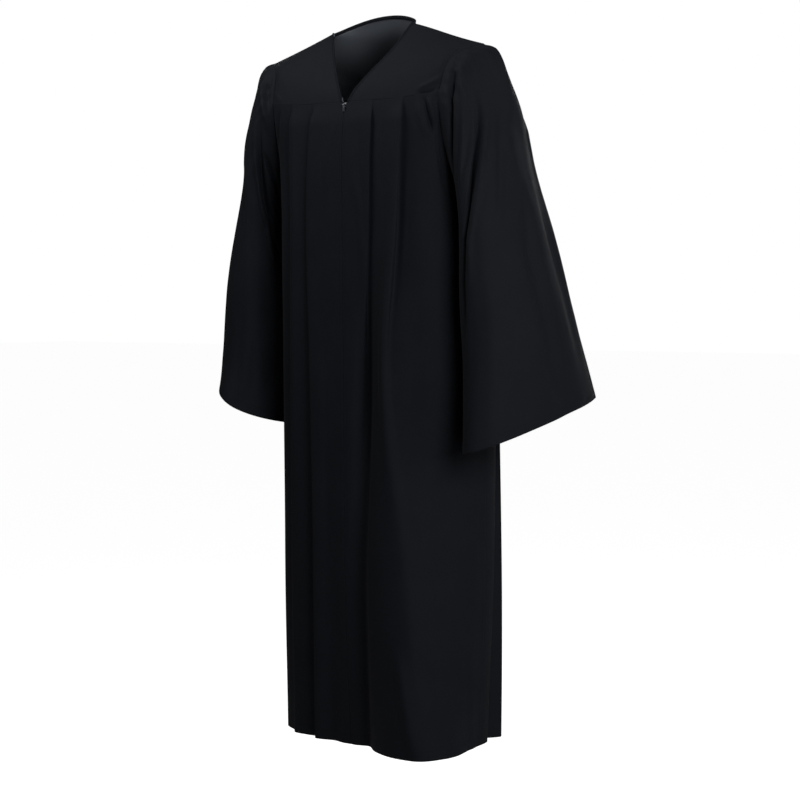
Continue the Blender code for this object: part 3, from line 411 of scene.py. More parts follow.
# %% Folds that hang from the yoke
STATION_NAMES = ("yoke", "chest", "waist", "knee", "hem")
STATIONS = np.array([0.14, 0.36, 0.60, 0.95, 1.30])  # their drops
FOLD_COLUMNS = "at_yoke at_chest at_waist at_knee at_hem out_yoke out_chest out_waist out_knee out_hem"
FRONT_LEFT_FOLDS = table(
    FOLD_COLUMNS,
    # zip edge, then the corner of the V's notch
    (0.0000, 0.000, 0.000, 0.000, 0.000, 0.000, 0.000, 0.000, 0.000, 0.000),
    (NOTCH_HALF, 0.0125, 0.0125, 0.0125, 0.0125, 0.000, 0.000, 0.000, 0.000, 0.002),
    # centre band
    (0.0350, 0.030, 0.019, 0.014, 0.015, 0.002, 0.001, 0.000, 0.000, 0.002),
    # first pleat: its fold, the underlay beside it and the next band
    (0.0600, 0.053, 0.034, 0.026, 0.028, 0.004, 0.003, -0.002, 0.001, 0.006),
    (0.0640, 0.058, 0.044, 0.038, 0.042, -0.002, -0.005, -0.011, 0.004, 0.012),
    (0.0950, 0.084, 0.070, 0.098, 0.118, 0.001, 0.001, -0.001, 0.035, 0.053),
    # second pleat, which becomes the gown's large ridge
    (0.1220, 0.110, 0.092, 0.126, 0.150, 0.006, 0.010, 0.019, 0.040, 0.061),
    (0.1260, 0.117, 0.108, 0.150, 0.178, -0.003, -0.006, 0.011, 0.029, 0.042),
    # broad side panel
    (0.1550, 0.158, 0.164, 0.188, 0.216, 0.000, 0.001, 0.004, 0.010, 0.014),
    (FRONT_CORNER_PLACE, 0.185, 0.206, 0.228, 0.248, 0.000, 0.002, 0.003, 0.004, 0.004),
)
FRONT_RIGHT_FOLDS = table(
    FOLD_COLUMNS,
    (0.0000, 0.000, 0.000, 0.000, 0.000, 0.000, 0.000, 0.000, 0.000, 0.000),
    (NOTCH_HALF, 0.0125, 0.0125, 0.0125, 0.0125, 0.000, 0.000, 0.000, 0.000, 0.000),
    (0.0400, 0.044, 0.040, 0.036, 0.040, 0.002, 0.002, 0.002, -0.001, -0.004),
    # first pleat
    (0.0680, 0.078, 0.075, 0.069, 0.080, 0.004, 0.005, 0.006, 0.007, 0.008),
    (0.0720, 0.083, 0.081, 0.077, 0.089, -0.002, -0.003, -0.004, -0.005, -0.005),
    (0.0980, 0.102, 0.104, 0.102, 0.112, 0.001, 0.001, 0.001, 0.002, 0.002),
    # second pleat
    (0.1220, 0.124, 0.128, 0.132, 0.140, 0.004, 0.006, 0.008, 0.010, 0.012),
    (0.1260, 0.130, 0.136, 0.144, 0.156, -0.002, -0.003, -0.002, 0.001, 0.005),
    (0.1550, 0.158, 0.168, 0.182, 0.198, 0.000, 0.001, 0.003, 0.007, 0.012),
    (FRONT_CORNER_PLACE, 0.185, 0.204, 0.222, 0.238, 0.000, 0.001, 0.002, 0.005, 0.009),
)

# %% Pleats and flutes
PLEAT_ROWS = (3, 6)  # where a front's table steps down from a pleat's fold to its underlay
PLEAT_LIP = 0.0034  # how far the fold's lip stands over the underlay
LIP_FADE = (0.35, 0.75)  # drops between which the lip opens out
FLUTES_A_SIDE = 5
FLUTE_OUT = (0.003, 0.007, 0.010, 0.014, 0.018)  # at each station
FLUTE_VALLEY = 0.8  # a valley's depth to a crest's height
FLUTE_UNEVEN = 0.30
FLUTE_SHIFT = 0.010  # sideways, as a share of the panel
DEPTH_BEAT, SIDE_BEAT, SHIFT_BEAT = 2.3, 0.8, 1.7  # radians from flute to flute, so that no two match
FLUTE_REACH = (0.186, 0.213, 0.230, 0.242)  # places of the outermost flute, below the seam


def back_folds(side):
    """Even flutes across the back yoke seam that open downwards, each a little different."""
    count = 2 * FLUTES_A_SIDE
    rows = []
    for n in range(count + 1):
        share = n / count
        uneven = 1 + FLUTE_UNEVEN * math.sin(DEPTH_BEAT * n + SIDE_BEAT * side)
        crest = 1 if n % 2 == 0 else -FLUTE_VALLEY
        shift = FLUTE_SHIFT * math.sin(SHIFT_BEAT * n + side) if 0 < n < count else 0
        places = [BACK_CORNER_PLACE * share]
        places += [reach * (share + shift) for reach in FLUTE_REACH]
        rows.append((*places, *(crest * uneven * out for out in FLUTE_OUT)))
    stations = len(STATIONS)
    rows[0] = (*rows[0][:stations], *FLUTE_OUT)
    rows[-1] = (*rows[-1][:stations], *np.zeros(stations))
    return table(FOLD_COLUMNS, *rows)


print(f"{2 * len(PLEAT_ROWS)} knife pleats in front and {2 * FLUTES_A_SIDE} flutes at the back")


# %% [markdown]
# ## Creases and drape
# Three layers make a sheet look like cloth. The folds above are the first. Creases are the second: soft
# troughs and ridges, placed one by one where the cloth is pulled or pinched. They could be sculpted with
# a brush, but a table can be read, changed and run again. Each row holds how far it stands out, half its
# width, and the points of its line on the piece's own two coordinates, all in metres. The third is a
# faint unevenness that no fold explains, made of a few long waves from a seeded random generator.


# %% Creases and drape
END_FADE = 3.0  # a crease reaches its full depth a third of the way along
DRAPE_WAVES = 5
WAVE_RANGE = (0.6, 1.6)  # of the given length and fall
CREST_SWAY = 0.7  # radians
CREST_FADE = 0.4


def creases(rows, across, down):
    """The height that a table of creases adds at the coordinates `across` and `down`."""
    total = np.zeros(across.shape)
    for out, width, *line in rows:
        line = np.array(line)
        run = run_along(line)
        nearest = np.full(across.shape, np.inf)
        share = np.zeros(across.shape)
        for start, end, run_start in zip(line[:-1], line[1:], run):
            step = end - start
            length = np.hypot(*step)
            t = ((across - start[0]) * step[0] + (down - start[1]) * step[1]) / length**2
            t = np.clip(t, 0, 1)
            away = np.hypot(across - start[0] - t * step[0], down - start[1] - t * step[1])
            closer = away < nearest
            nearest = np.where(closer, away, nearest)
            share = np.where(closer, (run_start + t * length) / run[-1], share)
        ends = smooth(share * END_FADE) * smooth((1 - share) * END_FADE)
        total += out * ends * np.exp(-((nearest / width) ** 2))
    return total


def drape(across, down, length, fall, height, seed):
    """A faint unevenness: waves about `length` apart whose crests wander and fade over about `fall`."""
    random = np.random.default_rng(seed)
    total = np.zeros(across.shape)
    for _ in range(DRAPE_WAVES):
        stretch, sway_fall, fade_fall = random.uniform(*WAVE_RANGE, 3)
        phase, sway_phase, fade_phase = random.uniform(0, 2 * np.pi, 3)
        sway = CREST_SWAY * np.sin(2 * np.pi * down / (fall * sway_fall) + sway_phase)
        fade = 1 - CREST_FADE + CREST_FADE * np.sin(2 * np.pi * down / (fall * fade_fall) + fade_phase)
        total += fade * np.sin(2 * np.pi * across / (length * stretch) + sway + phase) / DRAPE_WAVES
    return height * total


# %% Creases of the fronts
FRONT_LEFT_CREASES = (
    # pinch where the yoke seam runs into the armhole
    (-0.0070, 0.0030, (0.160, 0.134), (0.164, 0.146), (0.172, 0.172), (0.182, 0.210)),
    (0.0036, 0.0050, (0.170, 0.134), (0.178, 0.160), (0.185, 0.190)),
    (0.0020, 0.0060, (0.146, 0.140), (0.158, 0.175), (0.170, 0.215)),
    (-0.0026, 0.0045, (0.187, 0.155), (0.190, 0.231), (0.204, 0.320)),
    # drag lines from the V's foot
    (0.0030, 0.0065, (0.006, 0.170), (0.027, 0.260), (0.043, 0.343), (0.045, 0.470)),
    (-0.0022, 0.0060, (0.020, 0.200), (0.038, 0.290), (0.050, 0.380), (0.050, 0.480)),
    (0.0020, 0.0035, (0.020, 0.160), (0.026, 0.200), (0.027, 0.240)),
    (-0.0014, 0.0040, (0.034, 0.155), (0.037, 0.220), (0.036, 0.300)),
    (-0.0016, 0.0050, (0.086, 0.150), (0.082, 0.240), (0.080, 0.330)),
    (0.0016, 0.0070, (0.136, 0.200), (0.128, 0.330), (0.118, 0.480)),
    # the long valley beside the ridge, and the ridge's bright foot
    (-0.0050, 0.0120, (0.050, 0.420), (0.046, 0.560), (0.041, 0.700), (0.038, 0.850)),
    (-0.0140, 0.0175, (0.047, 0.400), (0.043, 0.700), (0.038, 1.000), (0.040, 1.700)),
    (0.0070, 0.0090, (0.120, 1.090), (0.132, 1.200), (0.150, 1.330)),
    (-0.0040, 0.0110, (0.150, 1.080), (0.162, 1.200), (0.176, 1.330)),
)
FRONT_RIGHT_CREASES = (
    (-0.0030, 0.0050, (0.160, 0.138), (0.172, 0.180), (0.181, 0.220)),
    (0.0020, 0.0060, (0.016, 0.160), (0.030, 0.240), (0.036, 0.330)),
    (-0.0026, 0.0060, (0.146, 0.180), (0.142, 0.300), (0.136, 0.460)),
    (0.0020, 0.0060, (0.112, 0.160), (0.116, 0.260), (0.112, 0.420)),
    (0.0014, 0.0100, (0.052, 0.500), (0.050, 0.750), (0.052, 1.050)),
    (-0.0020, 0.0120, (0.020, 0.800), (0.024, 1.000), (0.022, 1.250)),
)
print(f"{len(FRONT_LEFT_CREASES)} creases on the left front, {len(FRONT_RIGHT_CREASES)} on the right")

# %% Small forms of the fronts and the back
FRONT_DRAPE, BACK_DRAPE = 0.0013, 0.0012
FRONT_WAVE, BACK_WAVE = 0.060, 0.055  # from one faint wave to the next
WAVE_FALL = 0.5
FRONT_SEED, BACK_SEED = 11, 31
QUIET_BELOW_SEAM, QUIET_AT_SIDE, QUIET_AT_ZIP = 0.03, 0.04, 0.02  # where a seam holds the cloth flat
CREASE_START = 0.006  # below the yoke seam
GATHER_PITCH = 0.0105
GATHER_DEPTH = 0.0011
GATHER_ONSET, GATHER_LENGTH = 0.008, 0.16
GATHER_PHASE = 0.25  # of the pitch
GATHER_SWAYS = ((0.5, 0.011), (0.4, 0.027))  # radians, and the distance for one radian


def front_detail(side):
    """The small forms of one front, given places, drops and distances below the seam and to the side."""
    rows = FRONT_LEFT_CREASES if side > 0 else FRONT_RIGHT_CREASES

    def detail(place, drop, below_seam, to_side):
        quiet = smooth(below_seam / QUIET_BELOW_SEAM) * smooth(to_side / QUIET_AT_SIDE)
        quiet *= smooth(place / QUIET_AT_ZIP)
        out = creases(rows, place, drop) * smooth(below_seam / CREASE_START)
        return out + quiet * drape(place, drop, FRONT_WAVE, WAVE_FALL, FRONT_DRAPE, FRONT_SEED + side)

    return detail


def back_detail(side):
    """The back's drape, and the small gathers between its flutes just below the yoke seam."""

    def detail(place, drop, below_seam, to_side):
        quiet = smooth(below_seam / QUIET_BELOW_SEAM) * smooth(to_side / QUIET_AT_SIDE)
        sway = sum(turn * np.sin(place / length) for turn, length in GATHER_SWAYS)
        gather = np.sin(2 * np.pi * (place / GATHER_PITCH + GATHER_PHASE) + sway)
        gather *= smooth(below_seam / GATHER_ONSET) * (1 - smooth(below_seam / GATHER_LENGTH)) ** 2
        gather *= place < BACK_CORNER_PLACE
        waves = drape(side * place, drop, BACK_WAVE, WAVE_FALL, BACK_DRAPE, BACK_SEED)
        return GATHER_DEPTH * gather + quiet * waves

    return detail


print(f"{2 * BACK_CORNER_PLACE / GATHER_PITCH:.0f} fine gathers below the back yoke's seam")


# %% [markdown]
# ## Body panels
# A panel is a grid of points: its rows run from the top edge to the hem, its columns from the centre line
# to the side seam. A plain grid that is bent afterwards would cross its pleats at a slant and blunt them,
# so the columns follow the folds, and a pleat keeps its edge all the way down. Where a pleat steps down,
# its points also swing sideways, which lays the fold's lip over the underlay as a real knife pleat does.

# %% Panels of the body
OUT_AT_SEAM = 0.2  # of a fold's depth, in the yoke seam itself
OUT_REACH = 0.04
FAN_REACH = 0.35  # below the armhole, over which the side columns spread out evenly
FRONT_ROWS, BACK_ROWS = 225, 185
PANEL_CROWDING = 1.15
PANEL_STEP = 0.0029
PLEAT_COLUMNS = 8  # across a pleat's step
ARMHOLE_COLUMNS = 32


def fold_index(folds, back):
    """Grid columns as places in the fold table: row 2.5 is halfway between its rows 2 and 3."""
    counts = np.maximum(2, np.round(np.diff(folds["at_waist"]) / PANEL_STEP)).astype(int)
    if not back:
        counts[list(PLEAT_ROWS)] = PLEAT_COLUMNS
    pieces = [np.linspace(k, k + 1, n, endpoint=False) for k, n in enumerate(counts)]
    return np.concatenate([*pieces, [len(counts)]])


def panel(folds, back, side, detail):
    """Half a body panel: its points, and its place and drop at each."""
    index = fold_index(folds, back)
    shares = np.linspace(0, 1, ARMHOLE_COLUMNS + 1)[1:]
    last = len(folds["at_yoke"]) - 1
    k = np.concatenate([np.minimum(index.astype(int), last - 1), np.full(len(shares), last)])
    part = np.concatenate([index - k[: len(index)], shares])

    # The top edge: the yoke seam, with the V's notch at the front, and then the armhole.
    top_place = np.interp(index, np.arange(last + 1), folds["at_yoke"])
    top_drop = seam_drop(top_place, back)
    if not back:
        top_drop += (V_FOOT_DROP - FRONT_SEAM_DROP) * np.clip(1 - top_place / NOTCH_HALF, 0, 1)
    arm_drop = armhole_under(back, side, shares)[1]
    top_drop = np.concatenate([top_drop, arm_drop])
    low = np.linspace(0, 1, BACK_ROWS if back else FRONT_ROWS) ** PANEL_CROWDING
    drop = top_drop + (HEM_DROP - top_drop) * low[:, None]

    # Where the folds and the side seam lie at each point's own drop.
    nodes = flow(STATIONS, np.stack([folds[f"at_{s}"] for s in STATION_NAMES]).T, drop)
    outs = flow(STATIONS, np.stack([folds[f"out_{s}"] for s in STATION_NAMES]).T, drop)
    length = ring_length(drop.ravel(), back, side).reshape(drop.shape)
    nodes = np.concatenate([nodes, length[..., None]], -1)
    outs = np.concatenate([outs, np.zeros(drop.shape + (1,))], -1)

    # Columns below the armhole start on it and spread out evenly further down.
    pick = np.broadcast_to(k, drop.shape)[..., None]
    start, end = (np.take_along_axis(nodes, pick + n, -1)[..., 0] for n in (0, 1))
    place = start + (end - start) * part
    fan = np.s_[:, len(index) :]
    settle = smooth((drop[fan] - arm_drop) / FAN_REACH)
    room = (end - start)[fan]
    edge = (armhole_place(arm_drop, back, side) - start[0, len(index) :]) / room[0]
    place[fan] = start[fan] + room * (edge + (shares - edge) * settle)

    # Folds first, then the small forms, and last the pleats' lips.
    slope = slopes(nodes, outs)
    slope[..., [0, -1]] = 0
    ends = [np.take_along_axis(a, pick + n, -1)[..., 0] for a in (outs, slope) for n in (0, 1)]
    out = hermite(np.clip((place - start) / (end - start), 0, 1), end - start, *ends)
    at_seam = np.where(np.arange(drop.shape[1]) < len(index) - 1, OUT_AT_SEAM, 0)
    opened = at_seam + (1 - at_seam) * smooth((drop - top_drop) / OUT_REACH)
    out *= opened
    out[fan] *= 1 - shares * (1 - settle)
    out += detail(place, drop, drop - top_drop, length - place)
    if not back:
        stepped = np.isin(k, PLEAT_ROWS) * np.sin(2 * np.pi * part)
        shut = 1 - smooth((drop - LIP_FADE[0]) / (LIP_FADE[1] - LIP_FADE[0]))
        place = place + PLEAT_LIP * stepped * shut * smooth((drop - top_drop) / OUT_REACH)
    return body_point(place, drop, out, back, side), np.stack([place * side, drop], -1)


columns = len(fold_index(FRONT_LEFT_FOLDS, False)) + ARMHOLE_COLUMNS
print(f"the left front's grid: {FRONT_ROWS} rows and {columns} columns")


# %% [markdown]
# ## Yokes
# A yoke is a smooth sheet between the shoulder and the seam. It could be a subdivided patch that is
# shaped by hand, but it has to meet four given edges exactly. So each column is a curve that leaves the
# shoulder in one direction and meets the panel below at the panel's own slope, and the seam lies flat.
# Its coordinates are the place along the seam and the distance down from the shoulder.

# %% Front and back yokes
FRONT_LEAVE = (-0.10, -0.75, -0.40)
NAPE_LEAVE = (0, 0.42, -0.62)
SHOULDER_LEAVE = (0.06, 0.75, -0.40)
YOKE_ARRIVE = 0.85
SEAM_PROBE = 0.004  # below the seam, to find the panel's slope there
YOKE_ROWS = 64
YOKE_STEP = 0.0024
YOKE_LENGTH = 0.150  # from the shoulder down, as cloth
NECK_SHARE = 0.45  # of the back yoke's columns
YOKE_LEFT_CREASES = (
    # the seam puckers up where it runs into the armhole
    (0.0034, 0.0060, (0.140, 0.140), (0.160, 0.133), (0.178, 0.124), (0.190, 0.110)),
    (-0.0036, 0.0032, (0.146, 0.149), (0.168, 0.147), (0.186, 0.139)),
    (-0.0012, 0.0060, (0.176, 0.030), (0.183, 0.070), (0.184, 0.115)),
    (0.0010, 0.0090, (0.020, 0.060), (0.030, 0.100), (0.045, 0.140)),
)
YOKE_RIGHT_CREASES = (
    (0.0012, 0.0070, (0.150, 0.144), (0.168, 0.136), (0.186, 0.120)),
    (-0.0010, 0.0060, (0.178, 0.040), (0.184, 0.080), (0.184, 0.120)),
    (0.0008, 0.0090, (0.024, 0.050), (0.034, 0.100), (0.050, 0.140)),
)
YOKE_BACK_CREASES = (
    (0.0010, 0.0100, (-0.160, 0.030), (-0.120, 0.075), (-0.070, 0.120)),
    (0.0010, 0.0100, (0.150, 0.040), (0.115, 0.080), (0.075, 0.130)),
    (-0.0008, 0.0120, (-0.050, 0.020), (0.000, 0.050), (0.060, 0.025)),
)


# %% The yokes' surfaces
def on_yoke(columns, start_place, end_place):
    """(place, down) of a yoke's grid."""
    place = np.linspace(start_place, end_place, columns)
    return np.stack(np.meshgrid(place, np.linspace(0, YOKE_LENGTH, YOKE_ROWS)), -1)


def yoke_surface(top, place, back, leave):
    """A curved sheet from the top edge, which it leaves in the direction `leave`, to the yoke seam."""
    drop = seam_drop(place, back)
    bottom = body_point(place, drop, 0, back, 1)
    below = body_point(place, drop + SEAM_PROBE, 0, back, 1) - bottom
    below /= np.linalg.norm(below, axis=-1, keepdims=True)
    reach = np.linalg.norm(bottom - top, axis=-1, keepdims=True)
    down = np.linspace(0, 1, YOKE_ROWS)[:, None, None]
    return hermite(down, 1, top, bottom, reach * leave, reach * YOKE_ARRIVE * below)


def yoke_front(side):
    """Columns from the V's edge to the armhole, rows from the shoulder seam down to the yoke seam."""
    count = round((FRONT_CORNER_PLACE - NOTCH_HALF) / YOKE_STEP)
    place = np.linspace(NOTCH_HALF, FRONT_CORNER_PLACE, count)
    across = np.linspace(0, 1, count)
    surface = yoke_surface(shoulder_seam(across), place, False, FRONT_LEAVE)
    rows = np.linspace(0, 1, YOKE_ROWS)
    v_fix = along(v_edge(), rows)[:, None] - surface[:, :1]
    arm_fix = along(armhole_yoke(False, 1), rows)[:, None] - surface[:, -1:]
    across = across[None, :, None]
    return mirrored(surface + v_fix * (1 - across) ** 2 + arm_fix * across**2, side)


def yoke_back(side):
    """Half the back yoke: columns from centre back to armhole, rows from neck and shoulder down."""
    count = round(BACK_CORNER_PLACE / YOKE_STEP)
    place = np.linspace(0, BACK_CORNER_PLACE, count)
    neck_count = round(NECK_SHARE * count)
    neck = neck_arc(np.linspace(0, 1, neck_count))
    shoulder = shoulder_seam(np.linspace(0, 1, count - neck_count + 1)[1:])
    share = np.linspace(0, 1, count)[:, None]
    leave = np.array(NAPE_LEAVE) * (1 - share) + np.array(SHOULDER_LEAVE) * share
    surface = yoke_surface(np.concatenate([neck, shoulder]), place, True, leave)
    arm_fix = along(armhole_yoke(True, 1), np.linspace(0, 1, YOKE_ROWS))[:, None] - surface[:, -1:]
    return mirrored(surface + arm_fix * share**3, side)


in_front, at_back = yoke_front(1).shape[1], 2 * yoke_back(1).shape[1] - 1
print(f"yoke grids: {in_front} columns for each front yoke and {at_back} for the back yoke")


# %% [markdown]
# ## Sleeves
# A bell sleeve is an oval tube that starts at the armhole, drops beside the body and opens out to its
# wide hem. It could be a circle extruded along a bone, but its section changes all the way down. So its
# rows are sections at measured heights, and the first ones take over the armhole's own outline. Its
# coordinates are the distance round from the top line, forwards, and the distance down. The tube closes
# along the underarm seam.

# %% The sleeves
SLEEVE_COLUMNS = "outer_x outer_drop inner_x inner_drop y_mid front back pitch"
SLEEVE_SHARES = (0.0, 0.05, 0.12, 0.28, 0.52, 0.76, 1.0)  # of the sleeve's length, one for each row
SLEEVE_TOP = (
    (0.2320, 0.041, 0.2050, 0.355, 0.028, 0.100, 0.100, 0.00),
    (0.2590, 0.053, 0.2080, 0.368, 0.020, 0.102, 0.098, 0.00),
    (0.2720, 0.100, 0.2070, 0.390, 0.018, 0.103, 0.096, 0.00),
    (0.2820, 0.205, 0.2020, 0.445, 0.025, 0.106, 0.100, 0.02),
    (0.3180, 0.370, 0.1960, 0.530, 0.038, 0.126, 0.124, 0.06),
    (0.3420, 0.530, 0.1960, 0.635, 0.062, 0.150, 0.158, 0.12),
)
SLEEVE_HEM_LEFT = (0.3550, 0.700, 0.1990, 0.745, 0.082, 0.188, 0.203, 0.19)
SLEEVE_HEM_RIGHT = (0.3480, 0.650, 0.1990, 0.736, 0.082, 0.188, 0.188, -0.02)
SLEEVE_ROUND, SLEEVE_DOWN = 0.87, 0.66  # the coordinates' full range
print(f"sleeve hems: {SLEEVE_HEM_LEFT[1]:.2f} and {SLEEVE_HEM_RIGHT[1]:.2f} m down on the outer side")

# %% Creases of the sleeves
SLEEVE_LEFT_CREASES = (
    # the seam's own trough, the ridge beside it and the deep valley that runs down to the inner edge
    (-0.0125, 0.0080, (0.052, 0.006), (0.092, 0.024), (0.160, 0.042), (0.240, 0.052), (0.300, 0.070)),
    (0.0085, 0.0090, (0.066, 0.018), (0.104, 0.052), (0.152, 0.084), (0.197, 0.107), (0.250, 0.122)),
    (
        -0.0150, 0.0105,
        (0.076, 0.040), (0.105, 0.098), (0.179, 0.192), (0.236, 0.248), (0.258, 0.330), (0.266, 0.480),
    ),
    (0.0040, 0.0120, (0.070, 0.075), (0.095, 0.130), (0.150, 0.215), (0.205, 0.280), (0.225, 0.400)),
    # gathers of the cap
    (0.0030, 0.0040, (0.082, 0.004), (0.092, 0.024), (0.108, 0.040)),
    (0.0030, 0.0040, (0.048, 0.003), (0.058, 0.030), (0.066, 0.064)),
    (-0.0034, 0.0036, (0.064, 0.003), (0.074, 0.034), (0.082, 0.064)),
    (-0.0026, 0.0036, (0.036, 0.003), (0.042, 0.030), (0.046, 0.070)),
    # broad, soft folds of the outer side
    (-0.0055, 0.0160, (0.046, 0.110), (0.057, 0.201), (0.083, 0.258), (0.120, 0.340)),
    (-0.0105, 0.0200, (0.016, 0.230), (0.022, 0.313), (0.031, 0.388), (0.022, 0.499), (0.000, 0.700)),
    (0.0030, 0.0300, (0.140, 0.360), (0.170, 0.480), (0.190, 0.650)),
    # the full crown of the cap
    (0.0050, 0.0400, (0.010, 0.020), (0.000, 0.060), (-0.012, 0.110), (-0.020, 0.180)),
    # the back
    (-0.0080, 0.0200, (-0.150, 0.060), (-0.165, 0.180), (-0.175, 0.400)),
    (0.0060, 0.0160, (-0.105, 0.040), (-0.110, 0.180), (-0.090, 0.500)),
    (-0.0050, 0.0200, (-0.060, 0.200), (-0.055, 0.400), (-0.070, 0.640)),
)
SLEEVE_RIGHT_CREASES = (
    # drag lines that run round from the shoulder to the underarm
    (
        -0.0105, 0.0075,
        (0.140, 0.026), (0.175, 0.039), (0.245, 0.061), (0.319, 0.075), (0.374, 0.146), (0.378, 0.250),
    ),
    (-0.0070, 0.0055, (0.215, 0.046), (0.276, 0.025), (0.340, 0.012)),
    (-0.0040, 0.0060, (0.310, 0.062), (0.350, 0.070), (0.395, 0.082)),
    (0.0070, 0.0070, (0.130, 0.045), (0.190, 0.062), (0.260, 0.084), (0.320, 0.110), (0.350, 0.200)),
    (0.0060, 0.0055, (0.062, 0.016), (0.096, 0.030), (0.153, 0.021), (0.200, 0.016)),
    (-0.0045, 0.0045, (0.070, 0.006), (0.110, 0.016), (0.160, 0.010)),
    # the outer edge's ridge, and the hollow between it and the body
    (0.0050, 0.0200, (0.240, 0.180), (0.262, 0.300), (0.266, 0.420), (0.256, 0.650)),
    (-0.0050, 0.0260, (0.320, 0.200), (0.332, 0.320), (0.336, 0.460), (0.330, 0.640)),
    (-0.0040, 0.0200, (0.170, 0.120), (0.185, 0.260), (0.180, 0.420)),
    (0.0030, 0.0160, (0.120, 0.300), (0.140, 0.460), (0.150, 0.640)),
    # the back
    (-0.0080, 0.0200, (-0.140, 0.060), (-0.160, 0.180), (-0.170, 0.400)),
    (0.0060, 0.0160, (-0.100, 0.040), (-0.105, 0.180), (-0.085, 0.500)),
    (-0.0050, 0.0200, (-0.050, 0.200), (-0.045, 0.400), (-0.060, 0.640)),
)
print(f"{len(SLEEVE_LEFT_CREASES)} creases on the left sleeve, {len(SLEEVE_RIGHT_CREASES)} on the right")

# %% [markdown]
# ## Keeping a sleeve clear of the body
# A hanging sleeve rests against the gown's side, and two cloths can't share a place. A Shrinkwrap
# modifier could part them, but it snaps its points to the other surface and flattens the folds there.
# Here only what is too near is pushed out, until there is a small gap. The push is eased in past the
# armhole, where the two are sewn together.

# %% A sleeve clear of the body
SLEEVE_CLEAR = 0.0045  # from the sleeve's outer face to the body's
CLEAR_SOFTNESS = 0.004
CLEAR_REACH = 0.10  # past the armhole, as a share of its size, over which that distance is reached
CLEAR_START = 0.02
SLEEVE_NEAR = 0.02  # cloth further off than this needs no moving


def past_armhole(place, drop, back, side):
    """How far a place on the body lies outside its armhole, as a share of the armhole's size."""
    corner, top = armhole_corner(back)
    length = ring_length(drop, back, side)
    share = corner / ring_length(np.array([top]), back, side)[0]
    across = np.clip((1 - place / length) / (1 - share), 0, None)
    down = np.clip((drop - top) / (UNDERARM_DROP - top), 0, None)
    return np.hypot(across, down) - 1


def clear_of_body(points, side):
    """The sleeve's points moved out, level, until they are SLEEVE_CLEAR from the body beside them."""
    flat = mirrored(points, side).reshape(-1, 3)
    drop = -flat[:, 2]
    rows = np.arange(len(flat))
    for back in (False, True):
        x, y = ring_cage(drop, back, side)
        ring_x, ring_y = x @ bernstein(STEPS).T, y @ bernstein(STEPS).T
        near = np.hypot(ring_x - flat[:, :1], ring_y - flat[:, 1:2]).argmin(-1)
        near = np.clip(near, 1, CURVE_STEPS - 1)
        run_x = ring_x[rows, near + 1] - ring_x[rows, near - 1]
        run_y = ring_y[rows, near + 1] - ring_y[rows, near - 1]
        normal = np.stack([-run_y, run_x] if back else [run_y, -run_x]) / np.hypot(run_x, run_y)
        from_ring = np.stack([flat[:, 0] - ring_x[rows, near], flat[:, 1] - ring_y[rows, near]])
        depth = (from_ring * normal).sum(0)
        past = past_armhole(ring_lengths(x, y)[rows, near], drop, back, side)
        short = SLEEVE_CLEAR * smooth(past / CLEAR_REACH) - depth
        this_half = (flat[:, 1] > y[:, 3]) == back
        push = 0.5 * (short + np.hypot(short, CLEAR_SOFTNESS)) * this_half
        push *= np.clip(past / CLEAR_START, 0, 1) * (short > -SLEEVE_NEAR)
        flat = flat + np.stack([normal[0] * push, normal[1] * push, 0 * push], -1)
    return mirrored(flat.reshape(points.shape), side)


print(f"a sleeve keeps {1000 * SLEEVE_CLEAR:.1f} mm from the body below the armhole")


# %% The sleeve's surface
MIDDLE_Y, MIDDLE_BELOW = 0.04, 0.1  # a point inside the body, from which a panel's normals turn away
ARMHOLE_SHARE = 0.22  # of the sleeve's length, over which the armhole's outline fades
GATHERS = 15
GATHER_SPAN = 0.20  # turns each way from the shoulder tip
GATHER_OUT = 0.0012
GATHER_FADE = 0.16  # of the sleeve's length
GATHER_START = 0.03
GATHER_SWAY, GATHER_SWAY_TURNS = 0.8, 9  # radians, and radians for each turn of the sleeve
SLEEVE_DRAPE = 0.0016
SLEEVE_WAVE, SLEEVE_WAVE_FALL, SLEEVE_WAVE_START = 0.070, 0.4, 0.1
SLEEVE_SEED = 51
SLEEVE_CREASE_START = 0.02  # of the sleeve's length
SLEEVE_GRID = (190, 186)  # rows and columns
SLEEVE_CROWDING = 1.12


def outward(points, tube=False):
    """Unit normals of a grid, away from its middle. A tube's first and last columns are one line."""
    if tube:
        across = np.roll(points[:, :-1], -1, 1) - np.roll(points[:, :-1], 1, 1)
        across = np.concatenate([across, across[:, :1]], 1)
    else:
        across = np.gradient(points, axis=1)
    normal = np.cross(across, np.gradient(points, axis=0))
    normal /= np.linalg.norm(normal, axis=-1, keepdims=True)
    if tube:
        middle = points.mean(1, keepdims=True)
    else:
        middle = np.array((0, MIDDLE_Y, points[..., 2].mean() - MIDDLE_BELOW))
    return normal * np.sign(((points - middle) * normal).sum())


